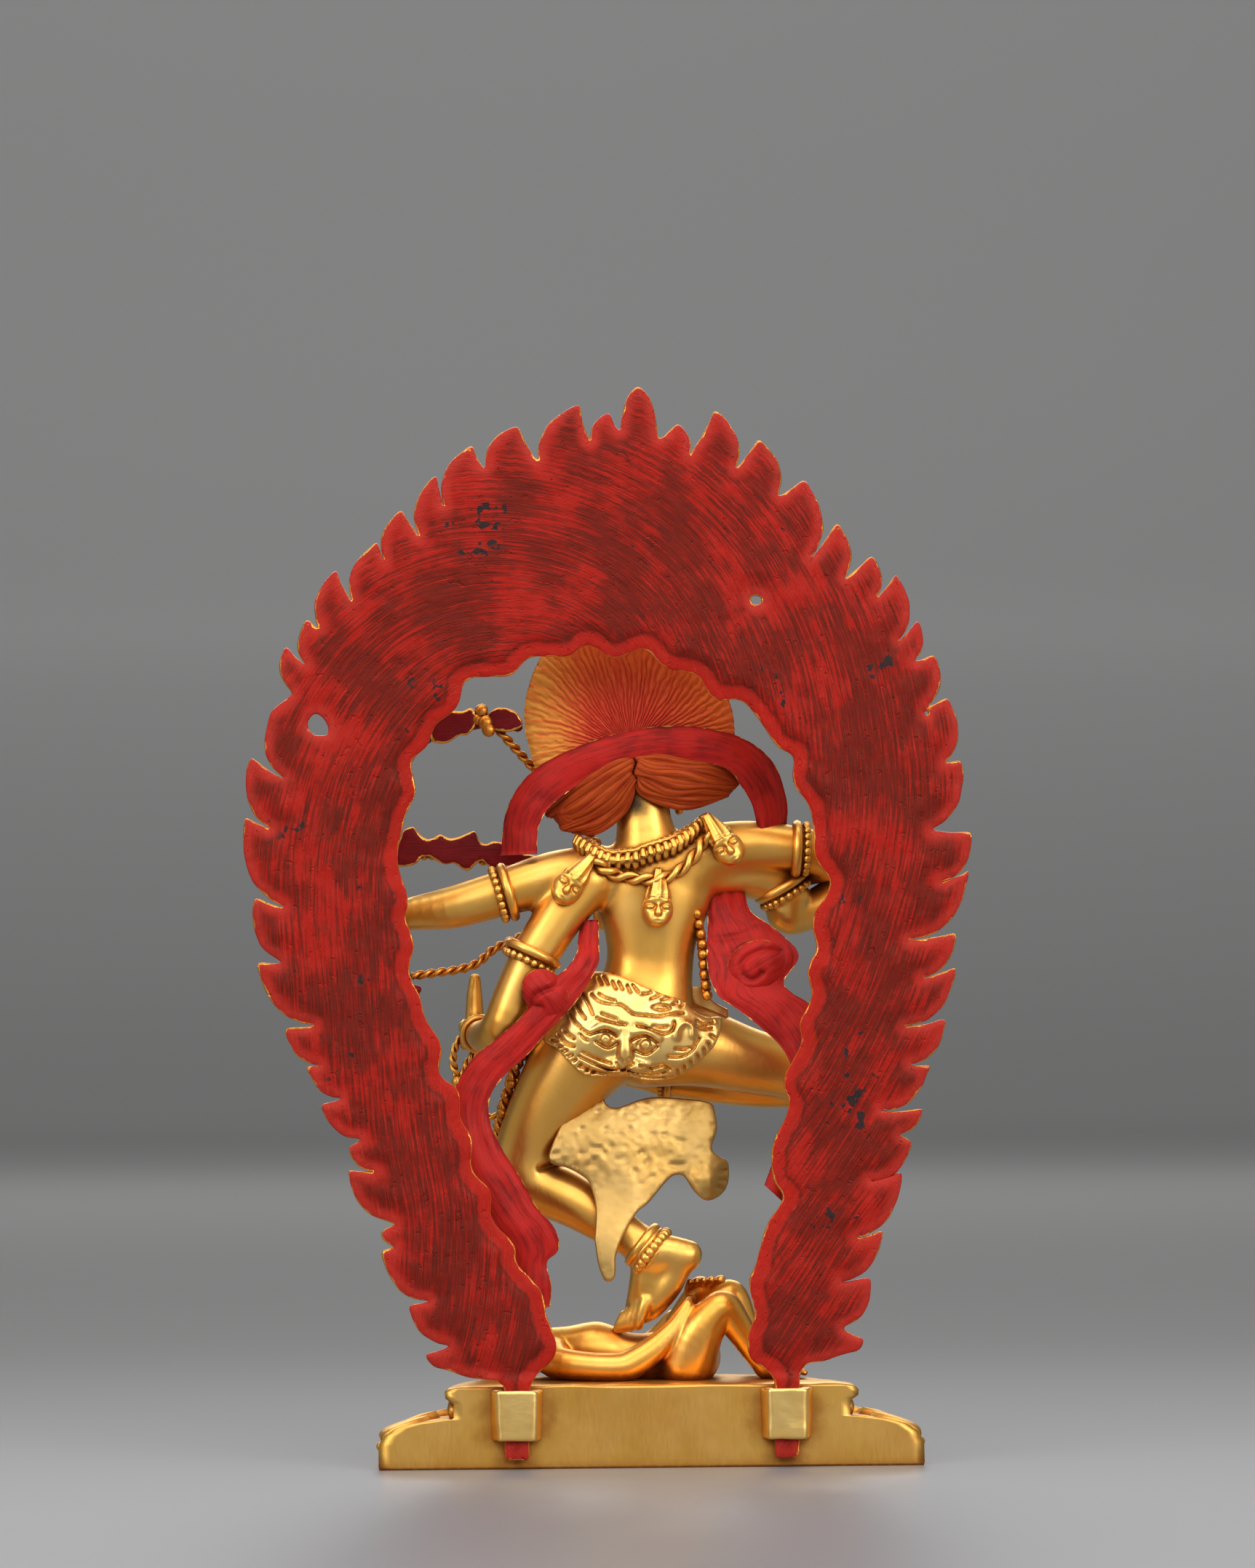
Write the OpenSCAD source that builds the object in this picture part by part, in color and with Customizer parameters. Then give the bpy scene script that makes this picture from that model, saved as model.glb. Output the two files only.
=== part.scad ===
// Gilt four-armed dancing goddess on a flat-backed lotus plinth, inside a red flame aureole.
// Millimetres. +Z is up, the figure faces -Y and her left side is at +X, so the flat back
// wall of the plinth and the aureole stand at +Y. Origin: middle of the plinth's underside.
// A limb is a list of [x, y, z, radius] stations; smooth() runs a curve through them.

/* [Plinth] */
// Width of the plinth at its foot
plinth_w = 101; // [98:1:104]
// Depth of the plinth from the flat back wall to the front wall
plinth_d = 41; // [39:1:43]
// Height of the wide lower tier
lower_h = 9.2; // [8.5:0.1:10]
// Height of the plinth's top, where the trampled figure lies
plinth_h = 15; // [14.5:0.1:15.5]
// Thickness of the cast walls
wall_t = 2.5; // [2:0.1:3]
// Thickness of the copper sheet that seals the underside
seal_t = 0.8; // [0.5:0.1:1]
// Number of lotus petals round the lower tier
petals_low = 15; // [11:2:17]
// Number of lotus petals round the upper tier
petals_high = 13; // [9:2:15]

/* [Aureole] */
// Thickness of the cast flame plate
aureole_t = 2.3; // [2:0.1:2.5]
// Width of each tang
tang_w = 4.5; // [4:0.1:5]
// Height of the tangs' lower ends above the ground
tang_z = 2; // [1:0.5:3]
// Play round each tang in its socket
socket_play = 0.3; // [0.2:0.05:0.4]
// Thickness of the socket straps
strap_t = 1.3; // [1:0.1:1.5]

/* [Figure] */
// Radius of the twisted bowstring
string_r = 0.9; // [0.7:0.1:1.1]
// Radius of the twisted rope garland
rope_r = 1.1; // [0.9:0.1:1.3]
// Thickness of the hammered scarf ribbons
scarf_t = 1.8; // [1.5:0.1:2]
// Radius of the rivets that hold the figure to the plinth
rivet_r = 2; // [1.5:0.1:2.5]

/* [Hidden] */
back_y = 22;                        // outer face of the plinth's flat back wall
aureole_y = back_y + socket_play;   // front face of the flame plate
aureole_back = aureole_y + aureole_t;
socket_x = [25, -24.8];             // centres of the left and the right tang
ring_n = 10;                        // sides of a limb's spheres
fine = 48;

// Outer flame tongues as [valley below the last tip, tip], from the crest down each side
crest = [1.5, 200];
flames_left = [[[5, 191], [7, 195]], [[10.5, 189], [12.5, 196.5]], [[20, 185.5], [24, 192.5]],
    [[30, 184], [32.5, 189]], [[37.5, 177], [39, 183.5]], [[42, 171.5], [45.5, 177]],
    [[48.5, 167], [50, 171]], [[54.5, 159.5], [57.5, 166]], [[60.5, 154.5], [63, 157]],
    [[63, 148], [67, 152]], [[65.5, 143], [69.5, 140]], [[67, 127], [73.5, 131.5]],
    [[69.5, 118], [74.5, 120.5]], [[67, 103.5], [73, 105.5]], [[67.5, 93.5], [72.5, 93.5]],
    [[61.5, 82], [67.5, 81.5]], [[60.5, 74.5], [63.5, 74.5]], [[56.5, 68.5], [61, 67.5]],
    [[53, 61], [56, 59.5]], [[50.5, 55], [56, 55.5]], [[47, 45.5], [50, 44]],
    [[47, 41], [50, 40.5]], [[40.5, 31], [45, 30.5]], [[37, 23], [42, 21.5]]];
flames_right = [[[-2, 189.5], [-5.5, 193]], [[-7.5, 186.5], [-12.5, 195.5]],
    [[-16, 184], [-20.5, 190]], [[-24, 179], [-29, 182.5]], [[-30, 167.5], [-35, 174.5]],
    [[-36, 163.5], [-41.5, 168.5]], [[-42, 160], [-46, 165]], [[-46, 152], [-50, 156.5]],
    [[-49, 148.5], [-53, 150]], [[-51.5, 140], [-55.5, 142]], [[-54.5, 129.5], [-58, 130.5]],
    [[-52, 117.5], [-60, 117]], [[-53.5, 107.5], [-59.5, 110]], [[-47.5, 97], [-57, 98.5]],
    [[-50, 90], [-57, 92]], [[-46.5, 81], [-55, 82.5]], [[-47.5, 74], [-52, 74]],
    [[-42, 65.5], [-50.5, 66]], [[-45.5, 61], [-48.5, 60]], [[-40, 52.5], [-46.5, 54.5]],
    [[-37.5, 42], [-43, 43.5]], [[-34.5, 34], [-40.5, 35]], [[-35, 25.5], [-39.5, 23.5]]];
foot_left = [[38, 18.5], [34, 17], [28, 16.5]];
foot_right = [[-36.5, 21], [-32, 19.5], [-28, 19]];
// Scalloped inner edge of the aureole, up the left leg, over the arch and down the right leg
arch = [[22, 17], [18.5, 20], [17.5, 23], [19.5, 28.5], [20.5, 33], [25, 38], [25, 41], [29.5, 46],
    [29.5, 51], [33, 55], [33, 61], [35, 64], [35.5, 70], [39, 72.5], [38.5, 78], [41.5, 83],
    [42.5, 87.5], [44.5, 91.5], [43.5, 97], [45, 101], [44.5, 105], [46.5, 112], [45, 120],
    [43, 125], [44, 130], [41, 133], [39.5, 137], [35.5, 140], [34, 145], [30, 146], [25.5, 146],
    [22, 149.5], [15, 149.5], [11, 152], [6.5, 149], [1, 151], [-3, 147.5], [-9, 146],
    [-12, 141.5], [-17, 141.5], [-21, 137], [-23.5, 133], [-27, 131], [-26.5, 126.5],
    [-30, 121], [-30.5, 112.5], [-33.5, 107.5], [-30, 101], [-31, 95.5], [-29, 91.5],
    [-30, 86.5], [-27.5, 82], [-28, 78], [-24.5, 71.5], [-25.5, 66], [-22.5, 59.5],
    [-22.5, 53], [-24.5, 49.5], [-21, 44], [-19.5, 38], [-18, 34], [-19, 28], [-17.5, 23.5],
    [-18.5, 19.5]];
// Casting holes in the flame plate as [x, z, radius]
holes = [[61, 137, 2.4], [-20, 160, 0.9]];

// Figure stations
torso_spine = [[4, 4, 78, 10.5], [2.5, 4, 86, 8], [-1, 4.2, 93, 7.2], [-1.8, 4.4, 101, 7.8],
    [-1.8, 4.4, 108, 7.4], [-0.6, 4.4, 114, 4.8], [-0.2, 4, 119, 5.2], [0.6, 3.4, 124, 5.2]];
standing_line = [[7.5, 4, 80, 10.2], [12.5, 4, 74.5, 8.8], [18, 3, 66.2, 7.2], [21.6, 2, 58.5, 6.3],
    [22.4, 2, 53.6, 5.9], [19.8, 2.4, 51.3, 5.5], [14.7, 4, 49, 5], [9, 5.5, 45.6, 4.4],
    [3, 6.5, 41.7, 3.6], [-0.5, 7.3, 39.2, 3.3], [-7.4, 8.6, 38.4, 2.5]];
foot_line = [[-6, 8.4, 37.8, 2.8], [-3.4, 7.4, 33.6, 3.1], [-0.4, 5.8, 29, 2.9], [3, 4.6, 25.6, 2]];
raised_line = [[0, 4, 78.6, 9], [-9, 3, 77.4, 7.6], [-18, 1.5, 75, 6.3], [-26, 0, 73, 5.5],
    [-32, -1.5, 71.3, 5], [-31.5, -2.2, 68.4, 4], [-22, -0.8, 66.2, 3.3], [-12, 0.5, 65.6, 3],
    [-5, 1, 64.8, 2.6], [0, 0.5, 64.2, 2.4], [5, -0.8, 64, 2]];
arm_bow_line = [[9, 5, 110, 5.2], [17, 5.5, 109, 4.9], [24.5, 6, 106.8, 4.5], [27, 6, 106, 4.3],
    [36.5, 5, 103.4, 3.9], [44, 3.5, 102.3, 3], [50, 2.5, 100.4, 3.2], [53.5, 1, 100, 3.2]];
arm_noose_line = [[11, 7, 108, 4.9], [15.5, 8, 102.5, 4.6], [20.3, 8.8, 95.3, 4.4], [23.8, 9, 88, 4.2],
    [26.8, 8.6, 80.8, 4.1], [29, 4, 79.3, 3.6], [30.5, -1, 79.5, 2.9], [31.2, -5, 80, 2.4],
    [31.3, -8, 79.8, 3]];
noose_finger = [[31.5, -6.6, 81, 1.3], [31.5, -7.8, 85, 1.1], [31.4, -7.8, 90, 0.9]];
arm_draw_line = [[-8, 5, 112, 5.6], [-15, 5, 114.3, 5], [-21.4, 5, 114.9, 4.6], [-29.7, 5, 114.3, 4.1],
    [-34.5, 3, 112.5, 3.9], [-31, -3, 111, 3.6], [-20, -7, 108.8, 3.1], [-9, -9.6, 106.4, 2.3],
    [0, -10.8, 105.2, 3.2]];
arm_hook_line = [[-10, 3.5, 110, 5], [-18.5, 2, 109.8, 4.6], [-24, 1, 108.4, 4.5], [-27.5, 0, 104.8, 4.4],
    [-28, -0.5, 102.2, 4.1], [-33, -2, 103.5, 3.5], [-38, -4, 108, 2.7], [-42, -6.2, 115.6, 3.2]];
victim_body = [[21, 2, 20.5, 4], [14, 3, 19.5, 3.6], [9, 3, 19.6, 5.2], [2, 4, 19, 5],
    [-5, 5, 18.8, 5], [-9, 6, 19.2, 5]];
victim_near_leg = [[-8.5, 9, 19.5, 4.6], [-11, 10.5, 25, 4], [-13.5, 11, 29, 3.1],
    [-17, 10, 24.5, 2.7], [-20.5, 9, 19, 2.2], [-24, 8.5, 16.8, 1.8]];
victim_far_leg = [[-8, 1, 19.5, 4.6], [-13, 0, 25, 3.8], [-14.5, -0.5, 29, 3.2],
    [-11.5, 0.5, 31, 2.6], [-9, 1.5, 32.5, 2.4]];
victim_near_arm = [[15.5, 9, 20, 3], [11, 11.5, 17.8, 2.7], [4, 13, 17.6, 2.5],
    [-1.5, 12.5, 20.5, 2.3], [-5, 11.5, 25, 1.9], [-7, 11, 28.5, 1.7]];
victim_far_arm = [[13, -4, 20, 3], [8, -8.5, 18, 2.6], [1, -10, 18, 2.3], [-4, -9, 21, 2],
    [-8, -7, 25, 1.8]];
bow_line = [[23.5, 3, 137.5, 1.8], [31, 2.5, 139, 2.2], [40, 1.5, 135.5, 2.4], [48, 0, 126, 2.6],
    [52.5, -0.5, 113, 2.6], [52.5, -0.5, 102, 2.2], [51, 0, 94, 2.6], [47, 1, 89.5, 2.2],
    [42, 1.5, 88, 1.6]];
string_line = [[30, 2.5, 138.5], [0, -12, 107], [45.5, 1, 91]];
hook_line = [[-42.5, -9, 100, 1], [-42.5, -9, 118, 1], [-42.5, -9, 131, 1], [-44, -9, 138, 1.6],
    [-49, -9, 139, 1.4], [-51, -9, 134, 0.8]];
scarf_arc_line = [[24, 111.5], [23.5, 118], [21, 124.5], [14.5, 129.5], [6, 132.8], [-2, 133.8],
    [-10, 133], [-16.5, 130.3], [-20.5, 126], [-22.5, 120.5], [-22, 115.5]];
scarf_left_line = [[11, 99], [13, 94.5], [16.5, 89], [19.5, 83.5], [22.5, 78.5], [27, 74.5],
    [32, 69.5], [31, 62], [27, 54], [22.5, 46.5], [19.5, 41.5], [20.5, 34]];
scarf_right_line = [[-13.5, 111], [-15.5, 104], [-16.3, 98], [-17, 92], [-20, 86], [-26, 81], [-29.5, 74],
    [-29, 66], [-25, 56], [-23.5, 48.5]];
apron_edge = [[14, 67], [4, 68.5], [-1, 67.5], [-11, 66.5], [-12.5, 63], [-12, 60], [-14.5, 56.5],
    [-14, 53], [-11, 49.5], [-8, 50.5], [-5.5, 53.5], [-2.5, 52.5], [1.5, 49.5], [5, 43.5],
    [5.5, 38.5], [8, 35], [9.5, 39], [9.5, 47], [12, 55], [15, 60]];
// Half outline of the upswept hair: [x from its middle, z]
hair_x = 3;
hair_half = [[0, 158], [7, 157], [13, 153], [17, 147], [18.5, 140], [17.5, 133], [14, 128]];

function at(p, i) = p[max(0, min(len(p) - 1, i))];
function curve(a, b, c, d, t) = 0.5 * (2 * b + (c - a) * t + (2 * a - 5 * b + 4 * c - d) * t * t
    + (3 * b - a - 3 * c + d) * t * t * t);
function smooth(p, k) = [for (i = [0 : len(p) - 2], j = [0 : k - 1])
    curve(at(p, i - 1), p[i], p[i + 1], at(p, i + 2), j / k), p[len(p) - 1]];
function flip(p) = [for (i = [len(p) - 1 : -1 : 0]) p[i]];
function unit(v) = v / norm(v);
// Points of one side of a flame tongue, bowed by `bow` of its length
function side(a, b, bow) = let (n = [b[1] - a[1], a[0] - b[0]])
    [for (t = [0, 1 / 3, 2 / 3]) a + (b - a) * t + n * bow * 4 * t * (1 - t)];
// A flank of tongues, hollow above and bellied below; s is 1 on the left flank and -1 on the right
function flank(f, last, s) = [for (i = [0 : len(f) - 1])
    each concat(side(f[i][0], f[i][1], 0.05 * s),
                side(f[i][1], i < len(f) - 1 ? f[i + 1][0] : last, -0.09 * s))];
// Outline of a ribbon of half width w along p
function normal(p, i) = let (d = unit(at(p, i + 1) - at(p, i - 1))) [-d[1], d[0]];
function ribbon(p, w) = concat([for (i = [0 : len(p) - 1]) p[i] + normal(p, i) * w],
    flip([for (i = [0 : len(p) - 1]) p[i] - normal(p, i) * w]));
// Half-oval plan of the plinth, its straight side on the back wall
function d_plan(hw, d) = [for (a = [0 : 6 : 180]) [hw * cos(a), back_y - d * sin(a)]];

module ball(q) translate([q[0], q[1], q[2]]) sphere(q[3], $fn = ring_n);
module limb(p, k = 3) {
    q = smooth(p, k);
    for (i = [0 : len(q) - 2]) hull() {
        ball(q[i]);
        ball(q[i + 1]);
    }
}
// A flat sheet standing in the XZ plane, from y0 to y1
module sheet(outline, y0, y1) translate([0, y1, 0]) rotate([90, 0, 0])
    linear_extrude(y1 - y0) polygon(outline);
// A ring of radius r and section w at point c, its axis turned to direction d
module band(c, d, r, w) translate(c) rotate([0, acos(unit(d)[2]), atan2(d[1], d[0])])
    rotate_extrude($fn = fine) translate([r, 0]) circle(w, $fn = 16);
module tier(z0, z1, hw, d) translate([0, 0, z0]) linear_extrude(z1 - z0) polygon(d_plan(hw, d));
// n petals round a tier: root radius scale, height and size
module petal_row(n, hw, d, z, h, w) for (i = [0 : n - 1]) {
    a = 8 + 164 * i / (n - 1);
    p = [hw * cos(a), back_y - d * sin(a), z];
    out = unit([cos(a) / hw, -sin(a) / d, 0]);
    along = [-out[1], out[0], 0];
    hull() for (s = [[-w, 0, 1], [w, 0, 1], [-w * 0.7, h * 0.6, 1.2], [w * 0.7, h * 0.6, 1.2], [0, h, 1]])
        ball([p[0] + along[0] * s[0], p[1] + along[1] * s[0], p[2] + s[1], s[2]]);
}

module plinth() color("goldenrod") difference() {
    union() {
        tier(0, lower_h * 0.65, plinth_w / 2, plinth_d);
        tier(lower_h * 0.65, lower_h * 0.9, plinth_w / 2 - 2.5, plinth_d - 2);
        tier(lower_h * 0.9, lower_h, plinth_w / 2 - 5.5, plinth_d - 5);
        tier(lower_h, plinth_h - 2.3, plinth_w / 2 - 13.5, plinth_d - 9);
        tier(plinth_h - 2.3, plinth_h - 0.8, plinth_w / 2 - 12.3, plinth_d - 8);
        tier(plinth_h - 0.8, plinth_h, plinth_w / 2 - 13.2, plinth_d - 9);
    }
    translate([0, -wall_t, 0]) {
        tier(-1, lower_h - wall_t, plinth_w / 2 - wall_t - 2.5, plinth_d - 2 * wall_t - 2);
        tier(0, plinth_h - wall_t, plinth_w / 2 - 13.5 - wall_t, plinth_d - 9 - 2 * wall_t);
    }
    for (x = [-6, 6]) translate([x, 4, 0]) cylinder(r = rivet_r + 0.05, h = 20, $fn = fine);
}

module seal_plate() color("chocolate") translate([0, -wall_t - 0.1, 0])
    tier(0, seal_t, plinth_w / 2 - wall_t - 2.6, plinth_d - 2 * wall_t - 2.2);

module lotus_petals_lower() color("gold")
    petal_row(petals_low, plinth_w / 2 - 1.4, plinth_d - 0.5, 4.6, 5.6, 3.4);

module lotus_petals_upper() color("gold")
    petal_row(petals_high, plinth_w / 2 - 12.8, plinth_d - 8.5, 10.2, 2.6, 2.6);

module figure_rivets() color("peru") for (x = [-6, 6]) translate([x, 4, 0]) {
    translate([0, 0, plinth_h - wall_t - 1.2]) cylinder(r = rivet_r + 1.2, h = 1.2, $fn = fine);
    translate([0, 0, plinth_h - wall_t - 0.6]) cylinder(r = rivet_r, h = wall_t + 3, $fn = fine);
}

module socket(x) {
    half = tang_w / 2 + socket_play;
    outer = aureole_back + socket_play + strap_t - back_y;
    translate([x, back_y, 5.3]) difference() {
        linear_extrude(9.4) polygon([[-half - 1.9, 0], [-half - 1.2, outer - 0.8],
            [-half - 0.2, outer], [half + 0.2, outer], [half + 1.2, outer - 0.8], [half + 1.9, 0]]);
        translate([-half, -1, -1]) cube([2 * half, outer - strap_t + 1, 12]);
    }
}
module socket_left() color("gold") socket(socket_x[0]);
module socket_right() color("gold") socket(socket_x[1]);

module flame_aureole() color("firebrick") difference() {
    union() {
        sheet(concat(side(crest, flames_left[0][0], -0.09), flank(flames_left, foot_left[0], 1),
            foot_left, smooth(arch, 2), flip(foot_right),
            flip(flank(flames_right, foot_right[0], -1))), aureole_y, aureole_back);
        for (x = socket_x) translate([x - tang_w / 2, aureole_y, tang_z])
            cube([tang_w, aureole_t, 20 - tang_z]);
    }
    for (h = holes) translate([h[0], aureole_y - 1, h[1]]) rotate([-90, 0, 0])
        cylinder(r = h[2], h = aureole_t + 2, $fn = 24);
}

module trampled_figure() color("gold") difference() {
    union() {
        limb(victim_body, 2);
        limb(victim_near_leg, 2);
        limb(victim_far_leg, 2);
        limb(victim_near_arm, 2);
        limb(victim_far_arm, 2);
    }
    translate([-60, -60, plinth_h - 40]) cube([120, 120, 40]);
    for (x = [-6, 6]) translate([x, 4, 0]) cylinder(r = rivet_r, h = plinth_h + 2.4, $fn = 32);
}

module standing_leg() color("gold") {
    limb(standing_line, 2);
    limb(foot_line, 2);
}
module raised_leg() color("gold") limb(raised_line, 2);

module torso() color("gold") {
    limb(torso_spine, 2);
    limb([[-9, 4.5, 111, 4.8], [0, 4.2, 110, 6.4], [8, 4.5, 109, 4.8]], 2);
    limb([[-3, 5, 79, 8.5], [4, 5.5, 79, 9.5], [11, 5, 79, 8]], 2);
}

module head() color("gold") {
    limb([[2, 0, 124.5, 3.4], [2, 0.5, 128, 6], [2, 1.5, 132, 7.6], [2, 2, 136, 7.6],
        [2, 2, 139, 6.5]], 2);
    limb([[2, -6, 133, 1], [2, -8.3, 129, 1.2]], 1);
}

module crown() color("gold") {
    for (i = [-2 : 2]) {
        a = i * 34;
        c = [2 + 8.6 * sin(a), 2 - 8.6 * cos(a), 138];
        hull() {
            ball([c[0], c[1], 136.5, 1.6]);
            ball([2 + 9.4 * sin(a), 2 - 9.4 * cos(a), 142, 2]);
            ball([2 + 9.8 * sin(a), 2 - 9.8 * cos(a), 147.5 - abs(i) * 1.3, 0.9]);
        }
    }
    for (i = [-4 : 3]) hull() for (a = [i * 20, i * 20 + 20])
        ball([2 + 8.3 * sin(a), 2 - 8.3 * cos(a), 136.2, 1.3]);
}

module earrings() color("gold") for (x = [-7.8, 11.8]) {
    translate([x, 1.5, 123.5]) rotate([0, 90, 0]) cylinder(r = 3.2, h = 1.8, center = true, $fn = fine);
    translate([x, 1.5, 127.3]) sphere(1.1, $fn = 24);
}

module flame_hair() color("orangered") sheet([for (p = smooth(concat(
    flip([for (q = hair_half) [hair_x - q[0], q[1]]]),
    [for (i = [1 : len(hair_half) - 1]) [hair_x + hair_half[i][0], hair_half[i][1]]]), 3)) p], 3, 9);

module nape_hair() color("orangered") {
    limb([[-12, 4, 127, 2.5], [-7, 6, 126, 3.8], [0, 7, 128, 3.6], [7, 6, 125, 4.2],
        [13, 4.5, 121, 3.2]], 2);
}

module arm_bow() color("gold") limb(arm_bow_line, 2);
module arm_noose() color("gold") {
    limb(arm_noose_line, 2);
    limb(noose_finger, 1);
}
module arm_draw() color("gold") limb(arm_draw_line, 2);
module arm_hook() color("gold") limb(arm_hook_line, 2);

module armlets() color("gold") {
    band([26.4, 6, 106.1], [9.8, -0.2, -2.8], 4.7, 1);
    band([21.4, 8.8, 94], [5.2, 0.4, -10.5], 4.7, 1);
    band([-29.6, 5, 114.2], [-10, 0, -0.4], 4.5, 1);
    band([-26.6, 0.5, 106.6], [-0.5, -0.1, -0.85], 4.8, 1);
}
module bracelets() color("gold") {
    band([46, 3.3, 101.7], [10, -1.8, -1.8], 3.3, 0.8);
    band([30.9, -3.4, 79.8], [0.9, -5, 0.6], 3.1, 0.8);
    band([-10, -9.4, 106.6], [10, -2.4, -2], 3, 0.8);
    band([-38.8, -4.4, 109.3], [-4, -1.6, 5], 3.1, 0.8);
}
module anklets() color("gold") {
    band([-0.5, 6.6, 39.8], [-6.2, 1.2, -4.2], 4, 1);
    band([-6, 1, 65], [6, 0, -0.6], 3.2, 0.8);
}

module collar() color("gold") limb([for (i = [0 : 12]) let (a = 180 + i * 30)
    [-0.5 + 9.8 * cos(a), 3.5 - 7 * sin(a), 115.5 + 2.2 * sin(a), 1.3]], 1);

module rope_garland() color("gold") limb([[9.5, 9, 112.5, rope_r], [6, 11.3, 110, rope_r],
    [1, 12.3, 108.8, rope_r], [-4, 12, 110, rope_r], [-8, 10.5, 113.5, rope_r],
    [-11, 6, 117, rope_r], [-11.5, 0, 114.5, rope_r], [-8, -5, 108, rope_r],
    [0, -7, 104.5, rope_r], [8, -4.5, 107, rope_r], [11.5, 2, 113.5, rope_r]], 1);

module severed_head(p, t) translate(p) rotate([0, t, 0]) {
    hull() {
        ball([0, 0, -1.6, 1.3]);
        ball([0, 0, 0.8, 2.1]);
    }
    hull() {
        ball([0, 0, 1, 1.9]);
        ball([0, 0, 5.2, 0.7]);
    }
}
module garland_heads() color("gold") {
    severed_head([13.6, 11.4, 107.5], 30);
    severed_head([-2, 12.6, 103.3], 0);
    severed_head([-14.4, 9.8, 115], -30);
    severed_head([-5, -7.6, 101], 8);
    severed_head([5, -7.4, 101], -8);
}

// Long garland of small heads along the outside of the standing thigh
module head_garland() color("gold") limb([[17.5, 6, 83, 1.5], [22.5, 4, 77, 1.6], [25.5, 2, 69, 1.7],
    [26.8, 1, 61, 1.6], [26.5, 0, 56, 1.4]], 2);

module tiger_skin() color("gold") {
    limb([[-9, 5, 80, 7], [-3, 5.5, 80.5, 8.8], [5, 6, 80.5, 9.8], [12, 5, 82, 8]], 2);
    limb([[-3, 5.5, 84, 7.4], [3, 5.8, 85, 7.4], [8, 5.2, 86, 6.4]], 1);
}

module skin_apron() color("gold") sheet(apron_edge, 7, 9);

module bone_apron() color("gold") {
    limb([[-9, 0, 84, 1.4], [-5, -5, 83, 1.4], [3, -6.6, 82, 1.4], [11, -4, 83.5, 1.4],
        [15, 1, 86, 1.4]], 2);
    for (x = [-4, 0, 4, 8]) hull() {
        ball([x, -6.6, 81.5, 1.1]);
        ball([x, -8.2, 71.5 + abs(x - 2) * 0.6, 1.2]);
    }
}

module scarf_arc() color("crimson") sheet(ribbon(smooth(scarf_arc_line, 3), 3.2), 8.8, 8.8 + scarf_t);
module scarf_left() color("crimson") {
    sheet(ribbon(smooth(scarf_left_line, 3), 2.9), 12, 12 + scarf_t);
    translate([19.5, 12, 89]) rotate([-90, 0, 0]) cylinder(r = 4.2, h = scarf_t, $fn = fine);
}
module scarf_right() color("crimson") {
    sheet(ribbon(smooth(scarf_right_line, 3), 3.3), 8.5, 8.5 + scarf_t);
    translate([-20.5, 8.5, 92.5]) rotate([-90, 0, 0]) cylinder(r = 5.8, h = scarf_t, $fn = fine);
}

module bow() color("firebrick") limb(bow_line, 2);
module bowstring() color("gold") limb([for (p = string_line) [p[0], p[1], p[2], string_r]], 4);
module arrow() color("firebrick") {
    for (i = [0 : 5]) hull() {
        ball([24 + i * 7, -7, 110.5 + i * 1.6, 1]);
        ball([27.5 + i * 7, -7, 111.5 + i * 1.6, 3.2]);
        ball([31 + i * 7, -7, 112.1 + i * 1.6, 1]);
    }
    limb([[2, -12.5, 105.5, 1], [15, -10, 108.5, 1], [26, -7, 111, 1]], 2);
}
module noose() color("gold") {
    limb([for (i = [0 : 12]) [28 + 5.5 * sin(i * 30), -9, 71 + 7 * cos(i * 30), 0.9]], 1);
    limb([[28, -9, 78, 0.9], [31, -8.5, 81, 0.9], [33.5, -9, 79, 0.9]], 2);
}
module hook() color("gold") limb(hook_line, 2);

plinth();
seal_plate();
lotus_petals_lower();
lotus_petals_upper();
figure_rivets();
socket_left();
socket_right();
flame_aureole();
trampled_figure();
standing_leg();
raised_leg();
torso();
head();
crown();
earrings();
flame_hair();
nape_hair();
arm_bow();
arm_noose();
arm_draw();
arm_hook();
armlets();
bracelets();
anklets();
collar();
rope_garland();
garland_heads();
head_garland();
tiger_skin();
skin_apron();
bone_apron();
scarf_arc();
scarf_left();
scarf_right();
bow();
bowstring();
arrow();
noose();
hook();
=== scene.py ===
"""Looks of the gilt dancing goddess with the red flame aureole.

Modelling is done in millimetres and written to Blender in metres. Rounded castings are digital
clay: a signed distance field, meshed by clay(). Sheets, ribbons, ropes and beads are built as
explicit meshes. The frame is the CAD's: +Z up, the figure faces -Y, her left side is at +X.
"""
import math

import bpy
import numpy as np
from mathutils import Matrix, Vector
from mathutils.geometry import delaunay_2d_cdt


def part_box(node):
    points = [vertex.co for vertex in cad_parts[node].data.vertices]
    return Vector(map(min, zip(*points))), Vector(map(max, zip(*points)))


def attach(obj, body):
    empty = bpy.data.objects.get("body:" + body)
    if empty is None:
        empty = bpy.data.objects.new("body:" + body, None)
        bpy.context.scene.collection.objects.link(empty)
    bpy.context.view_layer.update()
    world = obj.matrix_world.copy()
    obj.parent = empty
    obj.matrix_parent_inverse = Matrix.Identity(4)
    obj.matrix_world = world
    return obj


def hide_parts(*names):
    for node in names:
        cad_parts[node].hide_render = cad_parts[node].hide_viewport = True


MM = 0.001
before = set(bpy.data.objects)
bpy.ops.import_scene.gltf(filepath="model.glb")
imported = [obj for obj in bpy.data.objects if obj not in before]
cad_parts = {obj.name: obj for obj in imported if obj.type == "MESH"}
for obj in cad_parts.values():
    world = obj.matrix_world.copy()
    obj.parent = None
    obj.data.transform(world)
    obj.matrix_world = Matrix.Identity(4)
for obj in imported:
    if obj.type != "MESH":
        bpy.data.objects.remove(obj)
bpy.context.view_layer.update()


def corners(node):
    """Lowest and highest corner of a CAD node, in millimetres to two decimals."""
    return [np.round(np.array(c) / MM, 2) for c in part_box(node)]


# ---------------------------------------------------------------- small maths

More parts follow.
